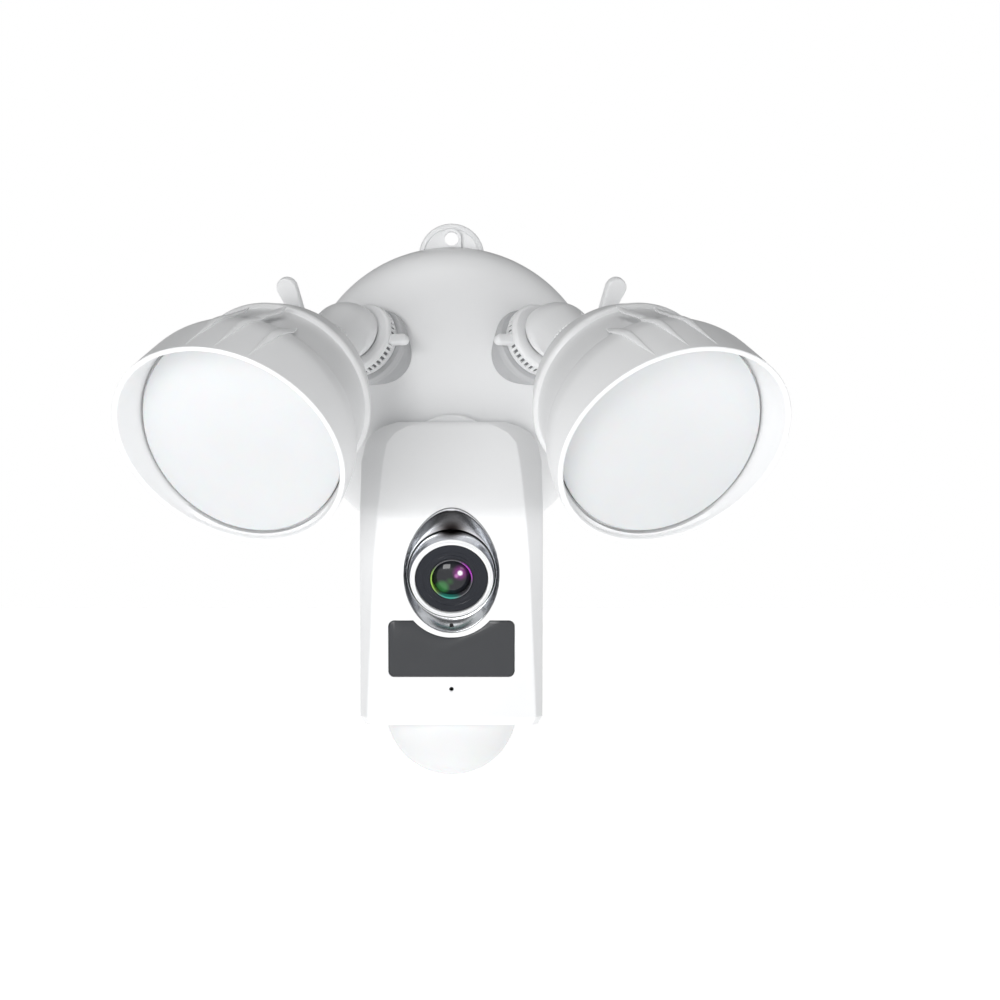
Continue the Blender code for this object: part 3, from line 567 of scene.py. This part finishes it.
def eye_foot():
    n = math.hypot(1.0, FACE_SLOPE)
    deep = ((EYE[1] - FACE_Y) - (FACE_Z - EYE[2]) * FACE_SLOPE) / n
    return EYE[2] - deep * FACE_SLOPE / n


def egg(grow=0.0, count=112):
    mid, points = -90.5, []
    for i in range(count):
        a = 2 * math.pi * i / count
        c, s = math.cos(a), math.sin(a)
        h = (EGG_TOP - mid) if s > 0 else (mid - EGG_LOW)
        wide = EGG_HALF * (1.0 - (0.10 * s * s if s > 0 else 0.0))
        points.append(((wide + grow) * c, mid + (h + grow) * s))
    return points


def window_outline(grow=0.0):
    half, top, low, r = 30.7 + grow, -113.0 + grow, -140.4 - grow, 3.0
    notch_r, notch_z = 25.2 - grow, -96.2
    n = math.hypot(1.0, FACE_SLOPE)
    points = []

    def corner(cx, cz, a0):
        points.extend((cx + r * math.cos(math.radians(a0 + 11.25 * k)),
                       cz + r * math.sin(math.radians(a0 + 11.25 * k)))
                      for k in range(9))
    corner(half - r, low + r, -90)
    corner(half - r, top - r, 0)
    reach = math.acos((notch_z - top) / notch_r)
    for k in range(33):
        a = reach - 2 * reach * k / 32
        points.append((notch_r * math.sin(a), notch_z - notch_r * math.cos(a)))
    corner(-half + r, top - r, 90)
    corner(-half + r, low + r, 180)
    return [(x, (z - FACE_Z) * n) for x, z in points]


def pir_hole():
    return rod("tool", (0, PIR_Y, -175), (0, PIR_Y, -158), PIR_R + 0.3, white(), 128)


def housing_front():
    rings = [section(z, *smooth_face(z), SPLIT_Y) for z in heights()]
    verts, faces = skin(rings, False)
    front = piece("housing_front_skin", verts, faces, white(), None)
    zs = [z for z in heights() if -162.0 < z < -18.0]
    rings = [section(z, *smooth_face(z), SPLIT_Y + 12, 2.4) for z in zs]
    verts, faces = skin(rings, False)
    carve(front, piece("tool", verts, faces, white(), None))
    outline = egg(0.25)
    rings = [[on_face(x, z, w) for x, z in outline] for w in (-9.0, 9.0)]
    verts, faces = skin(rings, False)
    carve(front, piece("tool", verts, faces, white(), None))
    o, u, v = face_frame()
    carve(front, prism("tool", window_outline(0.22), o, u, v, -9, 9, white()))
    carve(front, rod("tool", (0, -98, -147.3), (0, -84, -145.5), 1.1, white(), 32))
    carve(front, pir_hole())
    finish_piece(front, "base", "housing_front", 24)


def housing_rear():
    def ring(z, side, back, front_y, corner):
        pts = [(-side, front_y, 0.05), (side, front_y, 0.05), (side, back - corner, 4.0),
               (side - corner, back, 4.0), (-side + corner, back, 4.0), (-side, back - corner, 4.0)]
        return [(x, y, z) for x, y in rounded(pts, 1.0, 4, every=True)]
    rings = [ring(z, level(z)[2], REAR_Y, SPLIT_Y + 0.3, 10.0) for z in heights()]
    verts, faces = skin(rings, False)
    rear = piece("housing_rear_skin", verts, faces, white(), None)
    neck = [(0, 0), (NECK_R, 0), (NECK_R, 14.4), (NECK_R - 0.8, 15.2), (0, 15.2)]
    carve(rear, lathe("tool", neck, NECK, (0, -1, 0), white(), seg=160, fillet=0.3, phase=0.01), "UNION")
    carve(rear, dome_block(0.3))
    zs = [z for z in heights() if -162.0 < z < -18.0]
    rings = [ring(z, level(z)[2] - 2.5, REAR_Y - 2.5, SPLIT_Y - 8, 9.0) for z in zs]
    verts, faces = skin(rings, False)
    hollow = piece("tool", verts, faces, white(), None)
    carve(hollow, dome_block(2.8))
    carve(rear, hollow)
    carve(rear, rod("tool", (0, -62, -42), (0, -36, -42), 7.0, white()))
    carve(rear, pir_hole())
    carve(rear, rod("tool", (12, -20, -125), (12, -8, -125), 3.3, white()))
    outline = rounded([(-24.3, -134.3), (-3.7, -134.3), (-3.7, -115.7), (-24.3, -115.7)], 1.8, 6)
    carve(rear, prism("tool", outline, (0, 0, 0), (1, 0, 0), (0, 0, 1), 8, 20, white()))
    finish_piece(rear, "base", "housing_rear", 24)


def eye_dish():
    outline, foot = egg(0.0), eye_foot()

    def ring(mix, out, radius):
        points = []
        for x, z in outline:
            d = np.array([x, z - foot])
            d *= radius / np.linalg.norm(d)
            points.append(on_face((1 - mix) * x + mix * d[0], (1 - mix) * z + mix * (d[1] + foot), out))
        return points
    rings = [ring(0.0, -0.5, 21.7), ring(0.01, 0.0, 21.7), ring(0.03, 0.2, 21.7), ring(0.06, 0.15, 21.7)]
    for k in range(1, 15):
        mix = 0.07 + 0.93 * k / 14
        rings.append(ring(mix, -5.0 * math.sin(math.pi / 2 * k / 14) ** 0.85, 21.75))
    rings += [ring(1.0, -6.4, 22.4), ring(0.5, -6.3, 22.4), ring(0.0, -3.6, 22.4)]
    verts, faces = skin(rings, True)
    piece("eye_bezel_skin", verts, faces, silver_painted_shade(), "base", "eye_bezel", 40)
    n = on_face(0, 0, 1.0) - on_face(0, 0, 0.0)
    # painted shade: the pinhole is not cut; a small black cup stands for its dark inside
    hole = [(0, 0), (1.05, 0), (1.05, 0.9), (0.75, 1.1), (0.7, 0.5), (0, 0.5)]
    lathe("indicator_hole", hole, on_face(0, -115.8, -3.55), n,
          surface("pinhole_painted_shade", (0.012, 0.012, 0.012), 0.7, bump=0.1),
          "base", (), "gloss_black", seg=32, fillet=0, up=(1, 0, 0))


def housing_parts():
    o, u, v = face_frame()
    prism("ir_window_skin", window_outline(0.0), o, u, v, -2.4, -0.15, window_gloss(), "base", "ir_window",
          bevel=0.35)
    lathe("speaker_skin", [(0, 0), (13, 0), (13, 5), (6, 8), (0, 8)], (22, -36, -108), (0, -1, 0), grey(),
          "base", "speaker", "grey_plastic", seg=64)
    lathe("microphone_skin", [(0, 0), (3.0, 0), (3.0, 3.0), (0, 3.0)], (0, -82.5, -146.6), (0, -1, 0),
          surface("pickup_black", (0.02, 0.02, 0.02), 0.8, bump=0.2), "base", "microphone", "steel", seg=32)
    steps = 24
    outer, inner = [], []
    for k in range(steps + 1):
        a = math.radians(90 - (90 - 12) * k / steps)
        outer.append((PIR_R * math.cos(a), PIR_Z - PIR_R * math.sin(a)))
        inner.append(((PIR_R - 1.8) * math.cos(a), PIR_Z - (PIR_R - 1.8) * math.sin(a)))
    outer[0], inner[0] = (0.0, outer[0][1]), (0.0, inner[0][1])
    profile = outer + [(PIR_R - 0.3, -161.7), (35.0, -161.7), (35.0, -160.0),
                       (30.5, -160.0)] + inner[::-1][1:]
    lathe("pir_dome_skin", profile, (0, PIR_Y, 0), (0, 0, 1), milky(), "base", "pir_dome", "milky_dome",
          seg=128, up=(0, -1, 0), fillet=0)
    lathe("pir_sensor_skin", [(0, -161.0), (4.6, -161.0), (4.6, -156.3), (0, -156.3)], (0, PIR_Y, 0),
          (0, 0, 1), steel(), "base", "pir_sensor", "steel", seg=48, up=(0, -1, 0), fillet=0.3)
    outline = rounded([(-24, -134), (-4, -134), (-4, -116), (-24, -116)], 1.5, 5)
    prism("port_cover_skin", outline, (0, 0, 0), (1, 0, 0), (0, 0, 1), 11.4, 14.3, grey(), "base",
          "port_cover", bevel=0.4)
    button = [(0, 11.0), (3.0, 11.0), (3.0, 14.8), (4.4, 14.8), (4.4, 17.0), (0, 17.0)]
    lathe("reset_button_skin", button, (12, 0, -125), (0, -1, 0), grey(), "button", "reset_button",
          "grey_plastic", seg=48, fillet=0.3)
    for sgn, side in SIDES:
        rod(f"eye_pivot_{side}_skin", (sgn * 21.85, EYE[1], EYE[2]), (sgn * 27.5, EYE[1], EYE[2]), 1.4,
            steel(), body="base", nodes=f"eye_pivot_{side}", slot="steel")


# ------------------------------------------------------------------ eye
def eye():
    a = (0, -math.cos(EYE_DOWN), -math.sin(EYE_DOWN))
    outer = [(EYE_R * math.cos(t), EYE_R * math.sin(t)) for t in np.radians(np.linspace(-58, 20.0, 30))]
    inner = [(19.4 * math.cos(t), 19.4 * math.sin(t)) for t in np.radians(np.linspace(19, -58, 16))]
    lathe("eye_ball_skin", outer + inner, EYE, a, silver_painted_shade(), "eye", "eye_shell", "silver_trim", seg=128,
          fillet=0)
    lip = [(20.22, 7.36), (20.35, 7.7), (20.2, 8.1), (19.75, 8.28), (19.6, 8.2), (19.45, 8.3), (19.2, 8.85),
           (18.7, 9.1), (18.2, 9.0), (17.9, 8.6), (17.8, 5.9), (18.4, 5.9), (18.6, 7.3)]
    lathe("eye_lip_skin", lip, EYE, a, white(), "eye", "eye_shell", "white_plastic", seg=160, fillet=0)
    face = [(10.6, 5.9), (17.5, 5.9), (17.5, 8.0), (14.2, 8.15), (13.9, 7.95), (12.4, 8.1), (12.1, 8.3),
            (10.6, 8.4)]
    lathe("eye_face_skin", face, EYE, a, black_gloss(), "eye", "eye_face", "gloss_black", seg=128,
          fillet=0.12)
    barrel = [(9.6, -2.0), (10.3, -2.0), (10.3, 8.7), (10.05, 8.95), (9.8, 8.9), (9.6, 8.6)]
    lathe("lens_barrel_skin", barrel, EYE, a, rim_painted_reflections(), "eye", "lens_barrel", "gloss_black", seg=128,
          fillet=0.08)
    wide = 1.05
    curve = [(9.3 * math.sin(t) / math.sin(wide),
              5.6 + 3.1 * (math.cos(t) - math.cos(wide)) / (1 - math.cos(wide)))
             for t in np.linspace(0, wide, 20)]
    glass = [(0.0, 4.3), (9.3, 4.3)] + curve[::-1][:-1] + [(0.0, 8.7)]
    lathe("lens_glass_skin", glass, EYE, a, coated_glass(), "eye", "lens_glass", "coated_glass", seg=128,
          fillet=0)


# ------------------------------------------------------------------ arms
def socket(sgn, side):
    f, s = socket_face(sgn), socket_axis(sgn)
    cup = lathe(f"socket_{side}_skin", [(0, -27), (15.0, -27), (15.0, -3.2), (12.9, -3.2), (12.9, -24.8),
                                        (0, -24.8)],
                f, s, grey(), seg=96, fillet=0.4)
    collar = [(13.6, -30), (15.2, -30), (16.0, -23.0), (20.3, -14.0), (20.3, -12.0), (19.6, -10.3),
              (13.6, -10.3)]
    ring = lathe("ring", collar, f, s, grey(), seg=96, fillet=0.6, phase=0.02)
    carve(ring, dome_block(0.3))
    carve(cup, ring, "UNION")
    finish_piece(cup, "base", f"socket_{side}")


def notched(count, depth, above, low, high):
    """Cut square notches in the outer wall between two heights."""
    def wave(r, ang, t):
        if r < above or not low < t < high:
            return r
        return r - depth * (0.5 + 0.5 * math.tanh(5.0 * math.sin(count * ang)))
    return wave


def base_nut(sgn, side):
    f, s = socket_face(sgn), socket_axis(sgn)
    profile = [(15.4, -10.0), (16.9, -10.0), (16.9, -6.9), (18.4, -6.3), (18.5, -5.9), (18.5, -5.6),
               (18.5, -3.0),
               (18.5, -2.7), (18.5, -1.4), (17.9, -0.5), (17.0, 0), (11.6, 0), (11.6, -2.8), (15.4, -2.8)]
    nut = lathe(f"arm_nut_{side}_skin", profile, f, s, white(), seg=480, fillet=0.3,
                wave=notched(40, 1.1, 18.2, -6.2, -2.85))
    d = np.array([-sgn * 0.801, -0.598, 0.0])
    d -= s * d.dot(s)
    d /= np.linalg.norm(d)
    outline = [(16.0, -2.5)] + [(25.1 + 2.5 * math.cos(t), 2.5 * math.sin(t)) for t in
                                np.linspace(-math.pi / 2, math.pi / 2, 13)] + [(16.0, 2.5)]
    tab = prism("tab", outline, f, d, np.cross(s, d), -7.4, -2.5, white(), bevel=1.1)
    carve(nut, tab, "UNION")
    finish_piece(nut, f"base_nut_{side}", f"arm_nut_{side}")
    # painted shade: a dark grey ring inside the nut shows at the floor of the grip notches
    lathe(f"arm_nut_{side}_painted_notch_shade", [(17.0, -6.0), (17.75, -6.0), (17.75, -3.0), (17.0, -3.0)], f, s,
          surface("notch_painted_shade", (0.16, 0.165, 0.17), 0.6), f"base_nut_{side}", f"arm_nut_{side}",
          "grey_plastic", seg=96, fillet=0)


def arm(sgn, side):
    s, h, f, e = socket_axis(sgn), head_axis(sgn), socket_face(sgn), elbow(sgn)
    bend = math.acos(float(s.dot(h)))
    radius, seg = 14.6, 96
    reach = radius * math.tan(bend / 2)
    normal = np.cross(s, h)
    normal /= np.linalg.norm(normal)
    rings = []

    def put(centre, direction, r):
        d = direction / np.linalg.norm(direction)
        y = np.cross(d, normal)
        turn = [2 * math.pi * i / seg for i in range(seg)]
        rings.append([centre + r * (math.cos(t) * normal + math.sin(t) * y) for t in turn])
    ball = f - 12.0 * s
    for deg in np.linspace(-80, 40, 16):
        a = math.radians(deg)
        put(ball + 12.5 * math.sin(a) * s, s, 12.5 * math.cos(a))
    for along, r in ((-2.6, 8.8), (-1.2, 8.8), (0.2, 9.0), (0.9, 9.6), (1.4, 11.4), (1.8, 12.7), (2.4, 13.5),
                     (3.2, 13.9), (4.2, ARM_R)):
        put(f + along * s, s, r)
    start = e - reach * s
    inward = h - s * h.dot(s)
    centre = start + radius * inward / np.linalg.norm(inward)
    spoke = start - centre
    for k in range(21):
        a = bend * k / 20
        d = math.cos(a) * s + math.sin(a) * np.cross(normal, s)
        put(centre + math.cos(a) * spoke + math.sin(a) * np.cross(normal, spoke), d, ARM_R)
    for along in (20.0, 28.0, BALL_AT + 0.1):
        put(e + along * h, h, ARM_R)
    put(e + (BALL_AT + 0.5) * h, h, ARM_R - 0.35)
    verts, faces = skin(rings, False)
    tube = piece(f"elbow_arm_{side}_skin", verts, faces, white(), None)
    b = e + BALL_AT * h
    cup = [(0, -12.3)] + [(12.3 * math.cos(t), 12.3 * math.sin(t)) for t in np.radians(np.linspace(-78, 0,
                                                                                                   12))]
    carve(tube, lathe("tool", cup + [(12.3, 6.0), (0, 6.0)], b, h, white(), fillet=0))
    # raised alignment mark: one larger dot and three small ones along the top of the tube
    across, up, _ = axes(h)
    lean = up * math.cos(MARK_LEAN * sgn) - across * math.sin(MARK_LEAN * sgn)
    for along, radius in ((14.0, 0.9), (17.4, 0.55), (19.6, 0.55), (21.8, 0.55)):
        at = e + along * h + lean * (ARM_R - 0.25)
        carve(tube, rod("dot", at, at + lean * 0.55, radius, white(), 24), "UNION")
    finish_piece(tube, f"arm_{side}", f"elbow_arm_{side}", 30)


def ball_seat(sgn, side):
    h = head_axis(sgn)
    out = [(11.5 * math.cos(t), 11.5 * math.sin(t)) for t in np.radians(np.linspace(-78, 0, 12))]
    inn = [(9.9 * math.cos(t), 9.9 * math.sin(t)) for t in np.radians(np.linspace(0, -78, 12))]
    profile = [(0, -11.5)] + out + [(11.5, 2.2), (9.95, 2.2)] + inn + [(0, -9.9)]
    lathe(f"ball_seat_{side}_skin", profile, elbow(sgn) + BALL_AT * h, h, grey(), f"seat_{side}",
          f"ball_seat_{side}", "grey_plastic", seg=64, fillet=0)


def lamp_nut(sgn, side):
    h, e = head_axis(sgn), elbow(sgn)
    profile = [(14.5, 30.0), (17.2, 30.0), (18.0, 31.0), (18.0, 31.6), (18.0, 38.8), (18.0, 39.4),
               (16.6, 41.0), (8.8, 41.0), (8.8, 37.4), (13.0, 35.9), (14.5, 34.4)]
    nut = lathe(f"lamp_nut_{side}_skin", profile, e, h, white(), seg=448, fillet=0.35,
                wave=notched(56, 0.55, 17.7, 31.2, 39.2))
    _, up, a = axes(h)
    lean = LEVER_LEAN * sgn
    d = math.cos(lean) * up + math.sin(lean) * np.array([1.0, 0, 0])
    d -= a * d.dot(a)
    d /= np.linalg.norm(d)
    outline = [(-4.0, 16.9), (-3.7, 25.0)] + [(5.2 * math.cos(t), 37.3 + 5.2 * math.sin(t)) for t in
                                              np.linspace(math.pi + 0.1, -0.1, 17)] + [(3.7, 25.0),
                                                                                       (4.0, 16.9)]
    lever = prism("lever", outline, e, np.cross(a, d), d, -39.0, -35.0, white(), bevel=0.8)
    carve(nut, lever, "UNION")
    finish_piece(nut, f"head_nut_{side}", f"lamp_nut_{side}")


# ------------------------------------------------------------------ lamp heads
def hood_radius(t):
    return float(np.interp(t, [HOOD_BACK, 118.0, 123.0, 127.0, 131.0, 136.0, 142.0],
                           [53.0, 54.0, 55.4, 56.1, 56.4, 56.6, RIM_R]))


def rim_lean(r, t, ang):
    part = min(1.0, max(0.0, (t - LENS_AT - 0.5) / (RIM_AHEAD - 3.0)))
    return r * math.tan(RIM_TILT) * part * math.cos(ang)


def blade(sgn, k):
    """Narrow curved cooling blade, lying on the hood and running back to a free pointed tip."""
    h, e = head_axis(sgn), elbow(sgn)
    side, up, a = axes(h)
    edge, tip_t, tip_r = BLADES[k]
    rings = []
    for j in range(37):
        mix = j / 36
        t = tip_t + (BLADE_FRONT - tip_t) * mix
        left = BLADE_FRONT - t
        on = min(1.0, max(0.0, (t - tip_t) / (117.0 - tip_t)))
        ease = on * on * (3 - 2 * on)
        crown = tip_r + (hood_radius(max(t, HOOD_BACK)) + BLADE_PROUD - tip_r) * ease
        point = min(1.0, 0.12 + (t - tip_t) / 7.0) * min(1.0, 0.15 + left / 14.0)
        if t > 128.0:
            crown = hood_radius(t) + BLADE_PROUD * min(1.0, left / 13.0) + 0.03
        deep = (1.5 if t < HOOD_BACK else 2.4) * min(1.0, 0.3 + point)
        turn = edge - BLADE_DRIFT * (t - tip_t)
        ring = []
        for i in range(16):
            c = 2 * math.pi * i / 16
            across = 2.0 * point * math.copysign(abs(math.cos(c)) ** 0.7, math.cos(c))
            height = crown - deep / 2 + math.copysign(deep / 2 * abs(math.sin(c)) ** 0.6, math.sin(c))
            ang = sgn * math.radians(turn + across)
            tt = t + rim_lean(height, t, ang)
            ring.append(e + a * tt + height * (math.cos(ang) * up + math.sin(ang) * side))
        rings.append(ring)
    verts, faces = skin(rings, False)
    return piece("blade", verts, faces, white(), None)


def lamp(sgn, side):
    h, e, body = head_axis(sgn), elbow(sgn), f"lamp_{side}"
    ball = e + BALL_AT * h
    stud = [(0, -9.2)] + [(9.2 * math.cos(t), 9.2 * math.sin(t)) for t in np.radians(np.linspace(-80, 53,
                                                                                                 20))]
    stud += [(5.5, 9.0), (5.5, 17.3), (11.0, 17.3), (11.0, 20.0), (0, 20.0)]
    lathe(f"ball_stud_{side}_skin", stud, ball, h, steel(), body, f"ball_stud_{side}", "steel", seg=64,
          fillet=0.2)

    bowl = smooth_curve([(12.0, 46.4), (24.0, 50.6), (34.0, 58.4), (40.5, 68.0), (43.6, 76.4),
                         (44.2, 79.4)], 6)
    shell = [(5.8, 46.0)] + bowl + [(45.6, 80.1), (46.2, 80.9), (46.2, 82.6), (45.6, 83.6), (44.7, 84.4),
                                    (44.7, 86.0), (46.2, 94.0), (48.6, 104.0), (50.0, 114.0), (50.0, 122.0),
                                    (46.8, 122.0), (44.4, 102.0), (41.4, 84.0), (33.0, 65.0), (12.6, 50.4),
                                    (5.8, 50.0)]
    lathe(f"lamp_housing_{side}_skin", shell, e, h, coated_white(), body, f"lamp_housing_{side}",
          "white_metal", seg=160, fillet=0.4)

    rim_t = LENS_AT + RIM_AHEAD
    hood = [(51.2, 115.0), (52.6, 115.0), (53.0, 115.4)]
    hood += [(hood_radius(t), t) for t in (116.5, 118, 120, 122, 124, 126, 128, 130, 132, 134, 136, 138,
                                           140, 142)]
    hood += [(RIM_R, rim_t - 0.4), (RIM_R - 0.5, rim_t), (RIM_R - 2.0, rim_t), (RIM_R - 2.6, rim_t - 0.6),
             (53.6, 139.0), (53.0, 134.0), (52.4, 130.0), (52.0, 127.4), (52.0, 124.0), (46.2, 124.0),
             (46.2, 122.3), (51.6, 122.3)]
    hood = lathe(f"lamp_hood_{side}_skin", hood, e, h, white(), None, seg=200, shift=rim_lean, fillet=0)
    for k in range(len(BLADES)):
        merge(hood, blade(sgn, k))
    finish_piece(hood, body, f"lamp_hood_{side}")
    lathe(f"lens_gasket_{side}_skin", [(46.6, 124.3), (51.0, 124.3), (51.0, 124.8), (46.6, 124.8)], e, h,
          rubber(), body, f"lens_gasket_{side}", "black_rubber", seg=128, fillet=0.1)
    face = [(50.8 * k / 24, 127.6 - 0.9 * (k / 24) ** 2) for k in range(1, 24)]
    lens = [(0, 125.1), (50.8, 125.1), (50.8, 126.3), (50.4, 126.7)] + face[::-1] + [(0, 127.6)]
    lathe(f"lamp_lens_{side}_skin", lens, e, h, frosted(), body, f"lamp_lens_{side}", "frosted_lens",
          seg=160, fillet=0)
    cone = [(14.0, 96.4), (42.6, 120.6), (45.4, 120.6), (45.4, 121.6), (42.0, 121.6), (13.2, 97.4)]
    lathe(f"reflector_{side}_skin", cone, e, h, silver(), body, f"reflector_{side}", "silver_trim",
          fillet=0.2)
    lathe(f"led_board_{side}_skin", [(0, 93.0), (34.0, 93.0), (34.0, 95.0), (0, 95.0)], e, h,
          surface("white_board", (0.75, 0.75, 0.70), 0.5, bump=0.1), body, f"led_board_{side}",
          "white_plastic")


# ------------------------------------------------------------------ kept nodes
def dress_kept_nodes():
    looks = {"mounting_bracket": steel, "led_driver": grey, "terminal_block": grey, "ir_led_board": board,
             "main_board": board, "pir_board": board, "sensor_board": board, "antenna": steel}
    for node, look in looks.items():
        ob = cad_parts[node]
        ob.data.materials.clear()
        ob.data.materials.append(look())


# ------------------------------------------------------------------ stage
def floor():
    z = FLOOR_Z
    mesh = bpy.data.meshes.new("floor")
    mesh.from_pydata([(-6, -6, z), (6, -6, z), (6, 6, z), (-6, 6, z)], [], [(0, 1, 2, 3)])
    mesh.materials.append(surface("floor_white", (0.9, 0.9, 0.9), 0.8, bump=0.0, vary=0.005,
                                  Emission_Color=(1.0, 1.0, 1.0, 1), Emission_Strength=0.73))
    ob = bpy.data.objects.new("floor", mesh)
    bpy.context.scene.collection.objects.link(ob)


def area_light(name, place, aim, size, watts):
    data = bpy.data.lights.new(name, "AREA")
    data.shape, data.size, data.energy = "SQUARE", size, watts
    ob = bpy.data.objects.new(name, data)
    ob.location = place
    ob.rotation_euler = (Vector(aim) - Vector(place)).to_track_quat("-Z", "Y").to_euler()
    bpy.context.scene.collection.objects.link(ob)


def studio():
    """Even soft light, brightest from the front; the backdrop itself is plain white."""
    world = bpy.data.worlds.new("studio")
    world.use_nodes = True
    nodes, links = world.node_tree.nodes, world.node_tree.links
    soft, output = nodes["Background"], nodes["World Output"]
    soft.inputs["Strength"].default_value = 1.0
    # the room: bright round the horizon and below, with a dark flag high in front
    coord, split = nodes.new("ShaderNodeTexCoord"), nodes.new("ShaderNodeSeparateXYZ")
    links.new(coord.outputs["Generated"], split.inputs["Vector"])
    ramp = nodes.new("ShaderNodeValToRGB")
    lift = nodes.new("ShaderNodeMapRange")
    lift.inputs["From Min"].default_value, lift.inputs["From Max"].default_value = -1.0, 1.0
    links.new(split.outputs["Z"], lift.inputs["Value"])
    links.new(lift.outputs["Result"], ramp.inputs["Fac"])
    tones = ((0.0, 0.62), (0.46, 0.55), (0.56, 0.50), (0.66, 0.19), (0.80, 0.06), (0.90, 0.2), (1.0, 0.45))
    for k, (place, tone) in enumerate(tones):
        element = ramp.color_ramp.elements[0] if k == 0 else ramp.color_ramp.elements.new(place)
        element.position, element.color = place, (tone * 0.98, tone * 0.99, tone, 1)
    ramp.color_ramp.elements[-1].color = (0.44, 0.445, 0.45, 1)
    links.new(ramp.outputs["Color"], soft.inputs["Color"])
    plain = nodes.new("ShaderNodeBackground")
    plain.inputs["Color"].default_value = (1.0, 1.0, 1.0, 1)
    path, mix = nodes.new("ShaderNodeLightPath"), nodes.new("ShaderNodeMixShader")
    links.new(path.outputs["Is Camera Ray"], mix.inputs["Fac"])
    links.new(soft.outputs["Background"], mix.inputs[1])
    links.new(plain.outputs["Background"], mix.inputs[2])
    links.new(mix.outputs["Shader"], output.inputs["Surface"])
    bpy.context.scene.world = world
    bpy.context.scene.view_settings.view_transform = "Standard"
    area_light("key", (-0.7, -2.3, -0.1), (0, -0.08, -0.05), 1.1, 29)
    area_light("fill", (1.4, -1.7, -0.4), (0, -0.08, -0.05), 0.8, 6)
    area_light("top", (-0.2, -0.5, 1.7), (0, -0.05, -0.05), 0.9, 3.5)


def camera():
    data = bpy.data.cameras.new("camera")
    data.sensor_width, data.lens, data.shift_x = SENSOR, FOCAL, CAMERA_SHIFT
    ob = bpy.data.objects.new("camera", data)
    ob.location = CAMERA_AT
    ob.rotation_euler = (math.radians(90), 0, 0)
    bpy.context.scene.collection.objects.link(ob)
    bpy.context.scene.camera = ob


camera()
floor()
studio()
canopy()
canopy_parts()
housing_front()
housing_rear()
eye_dish()
housing_parts()
eye()
for SIGN, SIDE in SIDES:
    socket(SIGN, SIDE)
    base_nut(SIGN, SIDE)
    arm(SIGN, SIDE)
    ball_seat(SIGN, SIDE)
    lamp_nut(SIGN, SIDE)
    lamp(SIGN, SIDE)
dress_kept_nodes()
